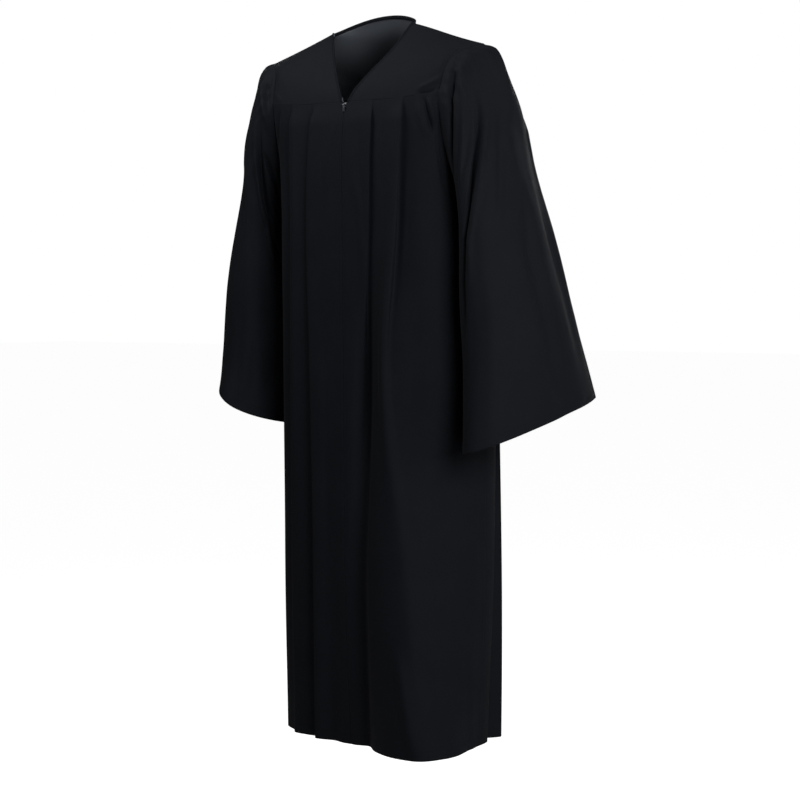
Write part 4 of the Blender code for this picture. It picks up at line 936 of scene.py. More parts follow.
def sleeve(side):
    """Rows from the armhole down to the hem, columns from the underarm forwards and round."""
    stations = table(SLEEVE_COLUMNS, *SLEEVE_TOP, SLEEVE_HEM_LEFT if side > 0 else SLEEVE_HEM_RIGHT)
    rows, columns = SLEEVE_GRID
    share = (np.linspace(0, 1, rows) ** SLEEVE_CROWDING)[:, None]
    turns = np.linspace(-0.5, 0.5, columns)
    at = {name: flow(SLEEVE_SHARES, column, share) for name, column in stations.items()}
    cos, sin = np.cos(2 * np.pi * turns), np.sin(2 * np.pi * turns)
    x_mid, drop_mid = ((at[f"outer_{name}"] + at[f"inner_{name}"]) / 2 for name in ("x", "drop"))
    x_half, drop_half = ((at[f"outer_{name}"] - at[f"inner_{name}"]) / 2 for name in ("x", "drop"))
    y = -np.where(sin > 0, at["front"], at["back"]) * sin
    z = -drop_mid - drop_half * cos + at["pitch"] * y
    points = np.stack([x_mid + x_half * cos, at["y_mid"] + y, z], -1)
    shares, loop = armhole(side)
    loop = mirrored(np.stack([np.interp(turns % 1.0, shares, column) for column in loop.T], -1), side)
    points = points + (loop - points[:1]) * (1 - smooth(share / ARMHOLE_SHARE))[..., None]

    turns, share = np.broadcast_arrays(turns, share)
    round_it, down = turns * SLEEVE_ROUND, share * SLEEVE_DOWN
    out = creases(SLEEVE_LEFT_CREASES if side > 0 else SLEEVE_RIGHT_CREASES, round_it, down)
    inside = smooth((GATHER_SPAN - np.abs(turns)) / GATHER_START)
    sway = GATHER_SWAY * np.sin(GATHER_SWAY_TURNS * turns + side)
    gather = np.cos(2 * np.pi * GATHERS * turns / (2 * GATHER_SPAN) + sway)
    gather = gather * inside * smooth(share / GATHER_START) * (1 - smooth(share / GATHER_FADE))
    waves = drape(round_it, down, SLEEVE_WAVE, SLEEVE_WAVE_FALL, SLEEVE_DRAPE, SLEEVE_SEED + side)
    out = out + GATHER_OUT * gather + waves * smooth(share / SLEEVE_WAVE_START)
    out = out * smooth(share / SLEEVE_CREASE_START)
    points = clear_of_body(mirrored(points + outward(points, tube=True) * out[..., None], side), side)
    return points, np.stack([round_it, down], -1)


print(f"a sleeve's grid: {SLEEVE_GRID[0]} rows and {SLEEVE_GRID[1]} columns")


# %% [markdown]
# ## From points to cloth
# Every edge of a sewn piece is turned. An edge that simply stops would read as cut paper. At the armhole
# the cloth bends round and its allowance stands inside. At the other seams the allowance is pressed open,
# and at a hem or a neckline the cloth is folded right over, so both of these run back inside the piece.
# All of them are extra rows of the grid, so a piece stays one sheet. It then gets its thickness from a
# Solidify modifier, which leaves rounded edges that meet in the fine groove of a seam.

# %% Turned edges
SEAM_PRESS = 0.0002  # how far two pieces press into each other where they are sewn
TURN_RADIUS = 0.0009
TURN_STEPS = 3  # in a quarter turn
PRESSED = 0.008  # the width of an allowance that is pressed open
STANDING = 0.0020  # the height of one that stands


def turned(points, normal, uv, width, radius):
    """The grid with its first row folded over and run back by `width`, or left standing if that is 0."""
    edge = points[1] - points[0]
    inward = edge - (edge * normal[0]).sum(-1, keepdims=True) * normal[0]
    inward /= np.linalg.norm(inward, axis=-1, keepdims=True)
    step = np.linalg.norm(edge, axis=-1, keepdims=True)
    angles = np.linspace(0, np.pi if width else np.pi / 2, TURN_STEPS * (2 if width else 1) + 1)
    base = points[0] + inward * (radius - SEAM_PRESS) - normal[0] * radius
    bend = [base - inward * radius * math.sin(a) + normal[0] * radius * math.cos(a) for a in angles]
    if width:
        rows = [n for n in range(1, len(points)) if n * step.mean() < width]
        tail = [points[n] - normal[n] * 2 * radius for n in rows]
        tail_normal = [normal[n] for n in rows]
    else:
        tail = [bend[-1] - normal[0] * STANDING]
        tail_normal = [normal[0]]
    fresh = [*bend[1:], *tail]
    steps = [np.linalg.norm(b - a, axis=-1).mean() for a, b in zip([bend[0], *fresh], fresh)]
    beyond = (uv[0] - uv[1]) / step
    fresh_uv = [uv[0] + beyond * length for length in np.cumsum(steps)]
    fresh_normal = [normal[0]] * (len(bend) - 1) + tail_normal
    return (
        np.concatenate([fresh[::-1], [bend[0]], points[1:]]),
        np.concatenate([fresh_normal[::-1], normal]),
        np.concatenate([fresh_uv[::-1], uv]),
    )


def turned_edges(grid, radius=TURN_RADIUS, **widths):
    """The grid with the named edges turned: start and end are columns, top and bottom are rows."""
    for name, width in widths.items():
        columns = name in ("start", "end")
        last = name in ("bottom", "end")
        grid = [a.swapaxes(0, 1) if columns else a for a in grid]
        grid = [a[::-1] if last else a for a in grid]
        grid = turned(*grid, width, radius)
        grid = [a[::-1] if last else a for a in grid]
        grid = [a.swapaxes(0, 1) if columns else a for a in grid]
    return grid


print(f"a pressed edge takes {1000 * (math.pi * TURN_RADIUS + PRESSED):.1f} mm of cloth")

# %% [markdown]
# ## A sheet of cloth in Blender
# A grid primitive has its points moved to the piece's own points, in rows and columns, so it needs no
# modelling by hand and keeps clean strips of faces from edge to edge. Its cloth coordinates become its UV
# map, for the weave. Solidify can only give the inner side a material of its own if the slot for it is
# there already, so each sheet gets two slots first.

# %% The cut and the sheet
CLOTH_THICK = 0.0008
WELD = 1e-6  # points nearer than this become one

pieces = {}
cuts = {}


def cut_of(points):
    """(width, length, area) of a panel laid flat: its longest row, its longest column, its surface."""
    width = np.linalg.norm(np.diff(points, axis=1), axis=-1).sum(1).max()
    length = np.linalg.norm(np.diff(points, axis=0), axis=-1).sum(0).max()
    cells = np.cross(points[1:, 1:] - points[:-1, :-1], points[1:, :-1] - points[:-1, 1:])
    return width, length, np.linalg.norm(cells, axis=-1).sum() / 2


def lay_cloth(node, grid, tube=False):
    """A grid laid on the points and thickened inwards. A tube's edges are welded where they coincide."""
    points, normal, uv = grid
    rows, columns = points.shape[:2]
    bpy.ops.mesh.primitive_grid_add(x_subdivisions=columns - 1, y_subdivisions=rows - 1, size=1)
    obj = bpy.context.active_object
    obj.name = f"cloth_{node}"
    mesh = obj.data
    mesh.name = obj.name
    mesh.vertices.foreach_set("co", points.astype(np.float32).ravel())
    corners = np.empty(len(mesh.loops), np.int32)
    mesh.loops.foreach_get("vertex_index", corners)
    mesh.uv_layers[0].name = "Cloth"
    mesh.uv_layers[0].uv.foreach_set("vector", uv.reshape(-1, 2)[corners].astype(np.float32).ravel())
    middle = mesh.polygons[(rows // 2) * (columns - 1) + columns // 2]
    if middle.normal.dot(Vector(normal[rows // 2, columns // 2])) < 0:
        mesh.flip_normals()
    if tube:
        bpy.ops.object.mode_set(mode="EDIT")
        bpy.ops.mesh.select_all(action="SELECT")
        bpy.ops.mesh.remove_doubles(threshold=WELD)
        bpy.ops.object.mode_set(mode="OBJECT")
    for _ in ("outer side", "inner side"):
        mesh.materials.append(None)
    shell = obj.modifiers.new("thickness", "SOLIDIFY")
    shell.thickness = CLOTH_THICK
    shell.offset = -1
    shell.use_quality_normals = True
    shell.material_offset = 1
    bpy.ops.object.modifier_apply(modifier=shell.name)
    mesh.shade_smooth()
    obj.select_set(False)
    pieces[node] = obj
    cuts[node] = cut_of(points)
    width, length, area = cuts[node]
    faces = 2 * len(mesh.polygons)
    print(f"{node}: {faces} triangles, {width:.3f} x {length:.3f} m flat, {area:.3f} m2")


print(f"cloth {1000 * CLOTH_THICK:.1f} mm thick")


# %% [markdown]
# ## The six cuts of the body
# Two fronts meet at the zip, one back hangs from the back yoke, and the two front yokes and the back yoke
# carry them. The body could be one mesh with its seams painted on, but a real seam is a groove between
# turned edges, so each cut is its own sheet. The fronts' centre edges are folded over the zip, and every
# lower edge has a hem.

# %% Lay out the fronts
HEM = 0.020
FACING = 0.009
OPEN_RADIUS = 0.0015  # of the fold at the centre front and along the V

front_points = {}
grids = {}
for side, word in ((1, "left"), (-1, "right")):
    folds = FRONT_LEFT_FOLDS if side > 0 else FRONT_RIGHT_FOLDS
    points, uv = panel(folds, False, side, front_detail(side))
    front_points[side] = points
    grid = [points, outward(points), uv]
    grids[f"front_{word}"] = grid
    grid = turned_edges(grid, radius=OPEN_RADIUS, start=FACING)
    lay_cloth(f"front_{word}", turned_edges(grid, end=PRESSED, top=PRESSED, bottom=HEM))

# %% [markdown]
# ## The back
# The back is one panel from side seam to side seam. It is worked out as two halves that meet at the
# centre back, because their flutes differ, and joined before it is laid out, so that no seam shows there.

# %% Lay out the back
def joined(left, right):
    """One grid from a left half and a right half that meet at the centre."""
    return np.concatenate([right[:, :0:-1], left], 1)


halves = [panel(back_folds(side), True, side, back_detail(side)) for side in (1, -1)]
points, uv = (joined(a, b) for a, b in zip(*halves))
grid = [points, outward(points), uv]
grids["back"] = grid
lay_cloth("back", turned_edges(grid, start=PRESSED, end=PRESSED, top=PRESSED, bottom=HEM))

# %% [markdown]
# ## The three yokes
# A front yoke is bounded by the neckline, the shoulder seam, the armhole and the yoke seam, and the back
# yoke runs from shoulder to shoulder. Along the neckline the folded edge makes the cloth thicker, so it
# stands a little proud. Below each neck point the outline has a corner, which would run down the yoke as
# a crease. Real cloth evens that out, and so does a moving average over the points here.

# %% Helpers for the yokes
NECK_ROLL = 0.0024  # the neckline's edge stands a little proud of the cloth beside it
NECK_ROLL_WIDTH = 0.0035
NECK_ROLL_FADE = 0.01  # along the back yoke's edge, towards the shoulder seams
EVEN_ROUNDS = 220  # each takes a point halfway to the middle of its two neighbours
EVEN_REACH = 0.22  # of the yoke's length from each edge, over which this sets in


def evened(points):
    """The back yoke with the neck points' corners spread over the cloth below. Its edges stay."""
    down = np.linspace(0, 1, YOKE_ROWS)[:, None, None]
    give = smooth(down / EVEN_REACH) * smooth((1 - down) / EVEN_REACH) / 2
    for _ in range(EVEN_ROUNDS):
        between = (points[:, :-2] + points[:, 2:]) / 2
        points[:, 1:-1] += give * (between - points[:, 1:-1])
    return points


def with_creases(points, uv, rows, roll):
    """The yoke's points moved out along their normals by its creases and by the roll of its neckline."""
    normal = outward(points)
    out = creases(rows, uv[..., 0], uv[..., 1]) + roll
    return [points + normal * out[..., None], normal, uv]


def from_first(points, axis):
    """Each point's distance from its row's or column's first point, along the cloth."""
    run = np.cumsum(np.linalg.norm(np.diff(points, axis=axis), axis=-1), axis)
    return np.concatenate([0 * run.take([0], axis), run], axis)


def neck_roll(from_edge):
    return NECK_ROLL * np.exp(-((from_edge / NECK_ROLL_WIDTH) ** 2))


print(f"the neckline stands {1000 * NECK_ROLL:.1f} mm proud of the cloth beside it")


# %% Lay out the front yokes
for side, word, rows in ((1, "left", YOKE_LEFT_CREASES), (-1, "right", YOKE_RIGHT_CREASES)):
    points = shoulder_lifted(yoke_front(side))
    uv = on_yoke(points.shape[1], NOTCH_HALF, FRONT_CORNER_PLACE)
    grid = with_creases(points, uv, rows, neck_roll(from_first(points, 1)))
    grid[2] = uv * (side, 1)
    grids[f"yoke_front_{word}"] = grid
    grid = turned_edges(grid, radius=OPEN_RADIUS, start=FACING)
    lay_cloth(f"yoke_front_{word}", turned_edges(grid, end=0, top=PRESSED, bottom=PRESSED))

# %% Lay out the back yoke
points = evened(shoulder_lifted(joined(yoke_back(1), yoke_back(-1))))
uv = on_yoke(points.shape[1], -BACK_CORNER_PLACE, BACK_CORNER_PLACE)
on_neck = smooth((NECK_SHARE * BACK_CORNER_PLACE - np.abs(uv[..., 0])) / NECK_ROLL_FADE)
grid = with_creases(points, uv, YOKE_BACK_CREASES, on_neck * neck_roll(from_first(points, 0)))
grids["yoke_back"] = grid
lay_cloth("yoke_back", turned_edges(grid, start=0, end=0, top=PRESSED, bottom=PRESSED))

# %% [markdown]
# ## The two bell sleeves
# Each sleeve's hem is rolled on a wider radius than the others, because it is the edge that is handled
# most. Its cloth coordinates are true distances round from the top line, so the weave keeps its scale and
# runs straight down the arm. Its two long edges are pressed together at the underarm, as the seam there
# is.

# %% Lay out the sleeves
SLEEVE_HEM_RADIUS = 0.0022


def true_round(points, uv):
    """The cloth coordinates of a sleeve: real distances round from its top line, and down."""
    run = from_first(points, 1)
    middle = run.shape[1] // 2
    return np.stack([run - run[:, middle : middle + 1], uv[..., 1]], -1)


for side, word in ((1, "left"), (-1, "right")):
    points, uv = sleeve(side)
    seam = np.linalg.norm(points[:, 0] - points[:, -1], axis=-1)
    print(f"the {word} sleeve's underarm seam closes within {1000 * seam.max():.1f} mm")
    grid = [points, outward(points, tube=True), true_round(points, uv)]
    grids[f"sleeve_{word}"] = grid
    hemmed = turned_edges(grid, radius=SLEEVE_HEM_RADIUS, bottom=HEM)
    lay_cloth(f"sleeve_{word}", turned_edges(hemmed, top=0), tube=True)

# %% [markdown]
# ## The zip
# A nylon coil zip closes the gown from the V's foot to below the knee. Its woven tape lies behind the
# fronts' folded edges. It could be a flat strip, but the fronts lean and bend on their way down, so the
# tape takes its points from their centre edges, a little further back.

# %% The tape
TAPE_HALF = 0.012
TAPE_TOP_DROP = 0.1535
TAPE_DEPTH = 0.0021
ZIP_BOTTOM_DROP = 0.945
TAPE_COLUMNS = 9  # on each side


def zip_line(across, depth, top_drop):
    """Points behind the two fronts' edges, at the given distances from the centre line, row by row."""
    strips = []
    for side in (-1, 1):
        points = front_points[side]
        rows = points[(points[:, 0, 2] > -ZIP_BOTTOM_DROP) & (points[:, 0, 2] < -top_drop)]
        level = [[np.interp(across, side * row[:, 0], row[:, k]) for k in (1, 2)] for row in rows]
        y, z = np.moveaxis(level, 1, 0)
        strips.append(np.stack([np.broadcast_to(side * across, y.shape), y + depth, z], -1))
    return strips


right, left = zip_line(np.linspace(0, TAPE_HALF, TAPE_COLUMNS), TAPE_DEPTH, TAPE_TOP_DROP)
tape_points = joined(left, right)
tape_uv = np.stack([tape_points[..., 0], -tape_points[..., 2]], -1)
tape_normal = np.broadcast_to((0.0, -1.0, 0.0), tape_points.shape)
lay_cloth("zip_tape", [tape_points, tape_normal, tape_uv])

# %% [markdown]
# ## Small things that repeat
# The coil's loops and the stitches are hundreds of copies of one small shape. An Array modifier on a
# curve could lay them out, but it bends each copy. Here one shape is modelled from a cube with bevelled
# edges. Its copies are joined in one mesh, each turned to run along its own piece of the line.

# %% One model, many copies
TRAVEL_PROBE = 0.4  # of the pitch each way, to find a line's direction


def modelled_once(name, size, bevel):
    """A block of the given size with rounded edges, as plain arrays of points and faces."""
    bpy.ops.mesh.primitive_cube_add(size=1)
    obj = bpy.context.active_object
    obj.name = name
    obj.scale = size
    bpy.ops.object.transform_apply(location=False, rotation=False, scale=True)
    bpy.ops.object.mode_set(mode="EDIT")
    bpy.ops.mesh.select_all(action="SELECT")
    bpy.ops.mesh.bevel(offset=bevel, segments=1, affect="EDGES")
    bpy.ops.object.mode_set(mode="OBJECT")
    points = np.array([v.co for v in obj.data.vertices])
    faces = [tuple(p.vertices) for p in obj.data.polygons]
    bpy.data.objects.remove(obj)
    return points, faces


def copies(name, model, places, frames, material):
    """One object made of copies of a model, each turned by its own 3 x 3 frame and moved to its place."""
    points, faces = model
    placed = (points @ np.swapaxes(frames, 1, 2)) + places[:, None]
    starts = np.arange(len(places)) * len(points)
    mesh = bpy.data.meshes.new(name)
    mesh.from_pydata(placed.reshape(-1, 3), [], [[n + v for v in face] for n in starts for face in faces])
    mesh.shade_smooth()
    mesh.materials.append(material)
    obj = bpy.data.objects.new(name, mesh)
    bpy.context.collection.objects.link(obj)
    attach(obj, "gown")
    print(f"{name}: {len(places)} copies, {sum(len(f) - 2 for f in faces) * len(places)} triangles")
    return obj


def evenly(points, pitch):
    """Points spaced evenly along a polyline, with the direction of travel at each."""
    length = run_along(points)[-1]
    count = int(length / pitch)
    middle = np.arange(count) + 0.5
    start, spots, end = (along(points, (middle + n * TRAVEL_PROBE) / count) for n in (-1, 0, 1))
    travel = end - start
    return spots, travel / np.linalg.norm(travel, axis=-1, keepdims=True)


# %% [markdown]
# ## Materials
# The cloth is a polyester poplin, dyed black with a slight blue cast and woven matt. Dyed this deep it
# returns very little light, so its forms show only in soft highlights. An image of cloth would blur when
# seen close and repeat when seen from afar, so the weave is worked out from the cloth's own coordinates:
# a bump of crossed threads, drawn about three times as coarse as the real one so that it shows at all,
# with slubs that run along the yarns. The inner side of the yokes is a smoother, glossier lining. Its mid
# grey is painted light: it is far lighter than the black cloth, and stands in for the sheen on the inside
# of the back neck. A sheet has one slot for each of its sides.

# %% Cloth materials
SLUB_LENGTH, SLUB_WIDTH = 0.045, 0.0022
SLUB_HEIGHT = 1.6  # to a thread's 1
SLUB_DETAIL, PATCH_DETAIL = 2.0, 3.0
PATCH_SIZE = 0.09  # of the dye's faint unevenness
SHEEN_ROUGHNESS = 0.4


def woven(name, colour, roughness, specular, sheen, pitch, depth, uneven):
    """A woven cloth on the piece's own coordinates, in metres."""
    material = bpy.data.materials.new(name)
    material.use_nodes = True
    tree = material.node_tree
    shader = tree.nodes["Principled BSDF"]
    uv = add_node(tree, "ShaderNodeUVMap", {"uv_map": "Cloth"}).outputs["UV"]
    parts = add_node(tree, "ShaderNodeSeparateXYZ", Vector=uv)
    times = {"operation": "MULTIPLY"}
    rate = 2 * math.pi / pitch
    threads = []
    for axis in (0, 1):
        turns = add_node(tree, "ShaderNodeMath", times, in_0=parts.outputs[axis], in_1=rate)
        wave = add_node(tree, "ShaderNodeMath", {"operation": "SINE"}, in_0=turns.outputs[0])
        threads.append(wave.outputs[0])
    weave = add_node(tree, "ShaderNodeMath", times, in_0=threads[0], in_1=threads[1])
    scale = (1 / SLUB_WIDTH, 1 / SLUB_LENGTH, 1)
    along_yarn = add_node(tree, "ShaderNodeMapping", Vector=uv, Scale=scale).outputs[0]
    slubs = add_node(tree, "ShaderNodeTexNoise", Vector=along_yarn, Scale=1.0, Detail=SLUB_DETAIL)
    add = {"operation": "MULTIPLY_ADD"}
    inputs = {"in_0": slubs.outputs[0], "in_1": SLUB_HEIGHT, "in_2": weave.outputs[0]}
    height = add_node(tree, "ShaderNodeMath", add, **inputs)
    bump = add_node(tree, "ShaderNodeBump", Height=height.outputs[0], Strength=1.0, Distance=depth)
    tree.links.new(bump.outputs[0], shader.inputs["Normal"])
    patches = add_node(tree, "ShaderNodeTexNoise", Vector=uv, Scale=1 / PATCH_SIZE, Detail=PATCH_DETAIL)
    span = {"To_Min": 1 - uneven, "To_Max": 1 + uneven}
    mottled = add_node(tree, "ShaderNodeMapRange", Value=patches.outputs[0], **span).outputs[0]
    dye = linear(colour)[:3]
    tint = add_node(tree, "ShaderNodeVectorMath", {"operation": "SCALE"}, in_0=dye, Scale=mottled)
    tree.links.new(tint.outputs[0], shader.inputs["Base Color"])
    shader.inputs["Roughness"].default_value = roughness
    shader.inputs["Specular IOR Level"].default_value = specular
    shader.inputs["Sheen Weight"].default_value = sheen
    shader.inputs["Sheen Roughness"].default_value = SHEEN_ROUGHNESS
    print(f"{name}: {colour}, threads {1000 * pitch:.1f} mm apart")
    return material


# %% The three cloths, and which piece has which
WOVEN = (  # name, colour, roughness, specular, sheen, thread pitch, thread depth, unevenness of the dye
    ("black_polyester_poplin", "#16181d", 0.72, 0.08, 0.014, 0.0011, 0.00005, 0.16),
    # the lining's mid grey is painted light: a painted sheen for the inside of the back neck
    ("grey_twill_yoke_lining_painted_sheen", "#50545b", 0.45, 0.35, 0.10, 0.0011, 0.00005, 0.10),
    ("black_polyester_zip_tape", "#101114", 0.80, 0.10, 0.01, 0.0016, 0.00012, 0.05),
)
poplin, lining, tape_cloth = (woven(*row) for row in WOVEN)

LINED = ("yoke_back", "yoke_front_left", "yoke_front_right")
for node, piece in pieces.items():
    outer = tape_cloth if node == "zip_tape" else poplin
    piece.data.materials[0] = outer
    # the yokes' inner side takes the lining, whose grey is painted sheen
    piece.data.materials[1] = lining if node in LINED else outer
    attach(piece, "gown")
    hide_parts(node)
print(f"{len(pieces)} sheets, {len(LINED)} of them lined")

# %% [markdown]
# ## Nylon, thread and metal
# The coil is moulded nylon, a little glossy. The thread is spun polyester, dull, and darker than the
# cloth's black: painted shade, which keeps its raised stitches from catching light. The slider and its
# tab are cast zinc with a dark nickel plating, which gives a soft grey shine.
# They could be three smooth colours, but then they would look like plastic from near by. A fine grain in
# their roughness and their bump, on each object's own coordinates, is enough at their size.

# %% Nylon, thread and metal
WEAR = 0.08  # how far the roughness wanders each way
GRAIN_DETAIL = 3.0


def plain(name, colour, roughness, specular, metallic, grain, depth):
    """A fine-grained material on the object's own coordinates, with its grain's size in metres."""
    material = bpy.data.materials.new(name)
    material.use_nodes = True
    tree = material.node_tree
    shader = tree.nodes["Principled BSDF"]
    place = add_node(tree, "ShaderNodeTexCoord").outputs["Object"]
    noise = add_node(tree, "ShaderNodeTexNoise", Vector=place, Scale=1 / grain, Detail=GRAIN_DETAIL)
    bump = add_node(tree, "ShaderNodeBump", Height=noise.outputs[0], Strength=1.0, Distance=depth)
    tree.links.new(bump.outputs[0], shader.inputs["Normal"])
    span = {"To_Min": roughness - WEAR, "To_Max": roughness + WEAR}
    wear = add_node(tree, "ShaderNodeMapRange", Value=noise.outputs[0], **span)
    tree.links.new(wear.outputs[0], shader.inputs["Roughness"])
    shader.inputs["Base Color"].default_value = linear(colour)
    shader.inputs["Metallic"].default_value = metallic
    if not metallic:
        shader.inputs["Specular IOR Level"].default_value = specular
    print(f"{name}: {colour}, a grain of {1000 * grain:.1f} mm")
    return material


PLAIN = (  # name, colour, roughness, specular, metallic, grain, depth of the grain
    ("black_nylon_coil", "#121316", 0.42, 0.35, 0.0, 0.0006, 0.00002),
    # the thread is darker than the cloth: painted shade, so that its raised stitches catch less light
    ("black_polyester_thread_painted_shade", "#0d0e10", 0.80, 0.06, 0.0, 0.0004, 0.00003),
    ("gunmetal_plated_zinc", "#74777d", 0.50, 0.5, 1.0, 0.0005, 0.00001),
)
nylon, thread, gunmetal = (plain(*row) for row in PLAIN)

# %% [markdown]
# ## The coil's two rows
# Each tape carries one row of loops. The two rows are shifted by half a pitch against each other, and
# each reaches past the centre line, so that they mesh. A spiral would be truer, but a loop is under two
# millimetres wide, and small rounded blocks look the same at arm's length with far fewer faces.

# %% Lay out the coil
COIL_PITCH = 0.0016
COIL_DEPTH = 0.0040
COIL_TOP_DROP = 0.1500
LOOP_SIZE = (0.0019, 0.0011, 0.0008)
LOOP_SHIFT = 0.0006  # of each row from the centre line
LOOP_BEVEL = 0.00025

loop = modelled_once("coil_loop", LOOP_SIZE, LOOP_BEVEL)
centre = zip_line(np.array([0.0]), COIL_DEPTH, COIL_TOP_DROP)[1][:, 0]
spots, travel = evenly(centre, COIL_PITCH)
across = np.broadcast_to((1.0, 0.0, 0.0), travel.shape)
frames = np.stack([across, np.cross(travel, across), travel], -1)
shift = across * LOOP_SHIFT
half = travel * COIL_PITCH / 4
loops = np.concatenate([spots - shift - half, spots + shift + half])
coil = copies("zip_coil_loops", loop, loops, np.concatenate([frames, frames]), nylon)
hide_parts("zip_coil")

# %% [markdown]
# ## The slider and its pull tab
# The slider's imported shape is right, so it only gets its metal. The tab is a stamped plate whose edges
# are rounded off in a tumbler. A Bevel modifier does that, but only on whole faces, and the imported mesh
# is never changed. So a copy has its loose triangles welded and its flat faces made whole, is bevelled,
# and stands in for it.

# %% The slider and its pull tab
EDGE_ROUND = 0.00018
ROUND_SEGMENTS = 2
FLAT_WITHIN = math.radians(2)
SHARP_ABOVE = math.radians(40)

slider = bpy.data.objects["zip_slider"]
slider.data.materials.clear()
slider.data.materials.append(gunmetal)

tab = bpy.data.objects["zip_pull"].copy()
tab.data = tab.data.copy()
tab.name = "pull_tab_plate"
for key in [k for k in tab.keys() if k.startswith("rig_")]:
    del tab[key]
bpy.context.collection.objects.link(tab)
bpy.context.view_layer.objects.active = tab
tab.select_set(True)
bpy.ops.object.mode_set(mode="EDIT")
bpy.ops.mesh.select_all(action="SELECT")
bpy.ops.mesh.remove_doubles(threshold=WELD)
bpy.ops.mesh.dissolve_limited(angle_limit=FLAT_WITHIN)
bpy.ops.object.mode_set(mode="OBJECT")
soft_edges = tab.modifiers.new("soft edges", "BEVEL")
soft_edges.width = EDGE_ROUND
soft_edges.segments = ROUND_SEGMENTS
soft_edges.limit_method = "ANGLE"
soft_edges.angle_limit = SHARP_ABOVE
bpy.ops.object.modifier_apply(modifier=soft_edges.name)
tab.data.shade_smooth()
tab.data.materials.clear()
tab.data.materials.append(gunmetal)
tab.select_set(False)
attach(tab, "pull_tab")
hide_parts("zip_pull")
print(f"pull tab: {len(tab.data.polygons)} faces")

# %% [markdown]
# ## Stitching
# Lockstitch runs a few millimetres inside the neckline, up each hem and down both sides of the zip. It
# could be a dashed bump, but that is flat when seen along the edge. A stitch is a short, rounded length
# of thread that dips into the cloth at both ends. One is modelled and copied along each line.

# %% Stitch lines
STITCH_PITCH = 0.0034
STITCH_SINK = 0.00010


def line_inside(points, normal, inset):
    """The line `inset` from a grid's first row, down each of its columns, and the normals along it."""
    run = from_first(points, 0)
    k = np.clip((run < inset).sum(0) - 1, 0, len(points) - 2)
    columns = np.arange(points.shape[1])
    t = ((inset - run[k, columns]) / (run[k + 1, columns] - run[k, columns]))[:, None]
    lines = [a[k, columns] * (1 - t) + a[k + 1, columns] * t for a in (points, normal)]
    return lines[0], lines[1]


def stitches(name, line, normal):
    """A row of stitches along a line on the cloth."""
    spots, travel = evenly(line, STITCH_PITCH)
    run = run_along(line)
    at = (np.arange(len(spots)) + 0.5) / len(spots) * run[-1]
    up = np.stack([np.interp(at, run, column) for column in normal.T], -1)
    across = np.cross(up, travel)
    across /= np.linalg.norm(across, axis=-1, keepdims=True)
    up = np.cross(travel, across)
    frames = np.stack([travel, across, up], -1)
    return copies(name, stitch, spots - up * STITCH_SINK, frames, thread)


print(f"{0.01 / STITCH_PITCH:.1f} stitches to a centimetre")


# %% Lay out the stitches
STITCH_SIZE = (0.0026, 0.00050, 0.00042)
STITCH_BEVEL = 0.0002
NECK_STITCH, HEM_STITCH, ZIP_STITCH = 0.0045, 0.0165, 0.0075  # from the edge that each line follows
ZIP_STITCH_START = 0.003  # below the tape's top

stitch = modelled_once("stitch", STITCH_SIZE, STITCH_BEVEL)
for word in ("left", "right"):
    points, normal, _ = grids[f"yoke_front_{word}"]
    line = line_inside(points.swapaxes(0, 1), normal.swapaxes(0, 1), NECK_STITCH)
    stitches(f"stitches_v_{word}", *line)
    points, normal, _ = grids[f"front_{word}"]
    hem = stitches(f"stitches_hem_{word}", *line_inside(points[::-1], normal[::-1], HEM_STITCH))
    line, up = line_inside(points.swapaxes(0, 1), normal.swapaxes(0, 1), ZIP_STITCH)
    on_zip = (line[:, 2] < -TAPE_TOP_DROP - ZIP_STITCH_START) & (line[:, 2] > -ZIP_BOTTOM_DROP)
    stitches(f"stitches_zip_{word}", line[on_zip], up[on_zip])
    points, normal, _ = grids[f"sleeve_{word}"]
    line = line_inside(points[::-1], normal[::-1], HEM_STITCH)
    stitches(f"stitches_sleeve_{word}", *line)
points, normal, _ = grids["back"]
stitches("stitches_hem_back", *line_inside(points[::-1], normal[::-1], HEM_STITCH))
points, normal, uv = grids["yoke_back"]
on_neck = np.abs(uv[0, :, 0]) < NECK_SHARE * BACK_CORNER_PLACE
line, up = line_inside(points, normal, NECK_STITCH)
stitches("stitches_neck", line[on_neck], up[on_neck])

# %% [markdown]
# ## What each sheet was cut from
# A sheet's flat size is its own cloth measured along its longest row and its longest column, with the
# allowances and hems that are folded inside. The body panels widen towards the hem and the sleeves are
# bell shaped, so each also has its own area.

HANGS_FROM = {
    "yoke_back": [],
    "yoke_front_left": ["yoke_back"],
    "yoke_front_right": ["yoke_back"],
    "back": ["yoke_back"],
    "front_left": ["yoke_front_left"],
    "front_right": ["yoke_front_right"],
    "sleeve_left": ["yoke_front_left", "yoke_back"],
    "sleeve_right": ["yoke_front_right", "yoke_back"],
    "zip_tape": ["front_left", "front_right"],
}
for node, above in HANGS_FROM.items():
    width, length, area = cuts[node]
    area = min(area, width * length)
print(f"{sum(area for _, _, area in cuts.values()):.2f} m2 of cloth in all")

# %% [markdown]
# ## Studio
# Black cloth shows its folds only where a light grazes them. A picture of a real studio could light them
# all at once, but each fold needs its own light in its own place. A large softbox stands low at the
# gown's left front, with a weaker one beside it, and a smaller one high at its right front fills the
# folds. The smallest hangs over the shoulders, and two more light the back. The room adds a little light
# from all sides, and the backdrop and the floor are white paper.

# %% The room and its backdrop
WHITE = (1, 1, 1, 1)
AMBIENT = 0.04  # the room's light on the cloth, with its white backdrop as 1

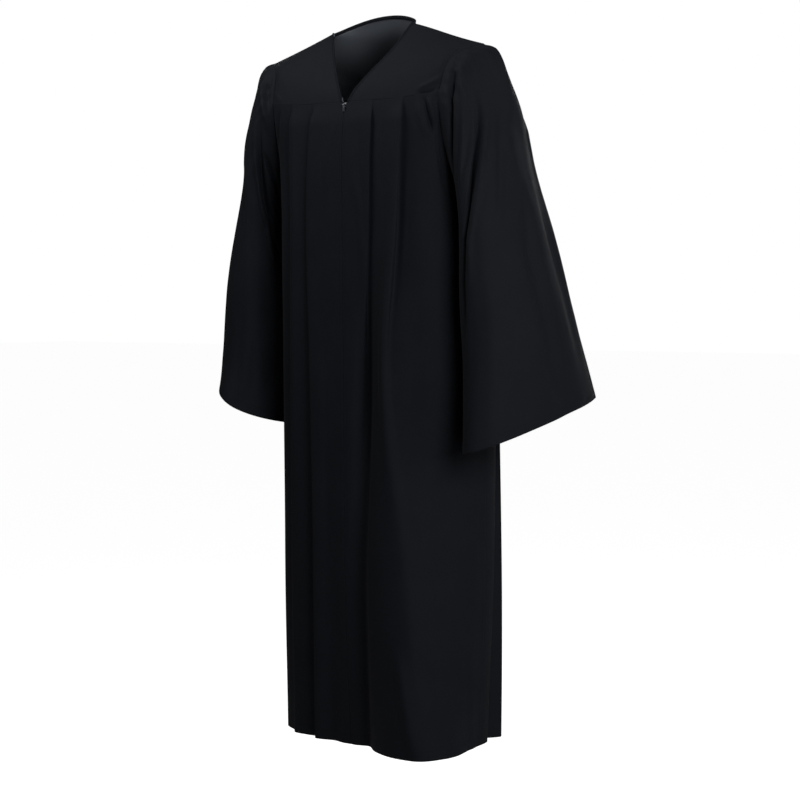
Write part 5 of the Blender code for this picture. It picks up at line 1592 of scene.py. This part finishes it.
scene = bpy.context.scene
scene.view_settings.view_transform = "Standard"
world = bpy.data.worlds.new("studio")
scene.world = world
world.use_nodes = True
tree = world.node_tree
tree.nodes.clear()
seen = add_node(tree, "ShaderNodeLightPath")
backdrop = add_node(tree, "ShaderNodeBackground", Color=WHITE, Strength=1.0)
room = add_node(tree, "ShaderNodeBackground", Color=WHITE, Strength=AMBIENT)
inputs = {"in_0": seen.outputs["Is Camera Ray"], "in_1": room.outputs[0], "in_2": backdrop.outputs[0]}
both = add_node(tree, "ShaderNodeMixShader", **inputs)
add_node(tree, "ShaderNodeOutputWorld", Surface=both.outputs[0])
print(f"a white backdrop, and {AMBIENT:.0%} of its light in the room")

# %% The floor
FLOOR_DROP = 1.50
FLOOR_SIZE = 60
FLOOR_GLOW = 0.96  # seen by the camera alone, so that the floor runs into the backdrop

bpy.ops.mesh.primitive_plane_add(size=FLOOR_SIZE, location=(0, 0, -FLOOR_DROP))
floor = bpy.context.active_object
floor.name = "studio_floor"
floor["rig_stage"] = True
paper = bpy.data.materials.new("pale_paper")
paper.use_nodes = True
tree = paper.node_tree
shader = tree.nodes["Principled BSDF"]
shader.inputs["Base Color"].default_value = linear("#bcbcbc")
shader.inputs["Roughness"].default_value = 0.9
shader.inputs["Specular IOR Level"].default_value = 0.0
shader.inputs["Emission Color"].default_value = WHITE
by_camera = add_node(tree, "ShaderNodeLightPath").outputs["Is Camera Ray"]
glow = add_node(tree, "ShaderNodeMath", {"operation": "MULTIPLY"}, in_0=by_camera, in_1=FLOOR_GLOW)
tree.links.new(glow.outputs[0], shader.inputs["Emission Strength"])
floor.data.materials.append(paper)
print(f"floor {FLOOR_DROP} m down, {FLOOR_SIZE} m wide")

# %% The lights
CHEST_DROP = 0.35  # what the lights are aimed at


def soft_box(name, azimuth, elevation, distance, size, power):
    """A square softbox aimed at the chest. Azimuth 0 is before the gown, and 90 to the wearer's left."""
    data = bpy.data.lights.new(name, "AREA")
    data.size = size
    data.energy = power
    lamp = bpy.data.objects.new(name, data)
    turn, rise = math.radians(azimuth), math.radians(elevation)
    chest = Vector((0, 0, -CHEST_DROP))
    away = Vector((math.sin(turn) * math.cos(rise), -math.cos(turn) * math.cos(rise), math.sin(rise)))
    lamp.location = chest + away * distance
    lamp.rotation_euler = away.to_track_quat("Z", "Y").to_euler()
    bpy.context.collection.objects.link(lamp)
    print(f"softbox {name}: {power} W, {distance} m away")


SOFT_BOXES = (  # name, azimuth, elevation, distance, size, watts
    ("key", 60, 12, 2.2, 1.0, 25),
    ("side", 100, 10, 2.2, 1.0, 10),
    ("fill", -38, 48, 1.5, 0.7, 10),
    ("shoulders", -30, 68, 1.2, 0.6, 2),
    ("back", 180, 15, 2.4, 1.0, 9),
    ("back right", -140, 15, 2.4, 1.0, 7),
)
for row in SOFT_BOXES:
    soft_box(*row)

# %% [markdown]
# ## Size
# Cloth may stand a little proud of the imported solids, but the gown keeps its size. The imported model's box
# and the finished one are printed side by side.

# %% Size
json_boxes = {"cad": [list(v) for v in cad_box], "visual": [list(v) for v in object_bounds()]}
for name, (low, high) in json_boxes.items():
    print(f"{name} size:", ", ".join(f"{b - a:.3f}" for a, b in zip(low, high)), "m")
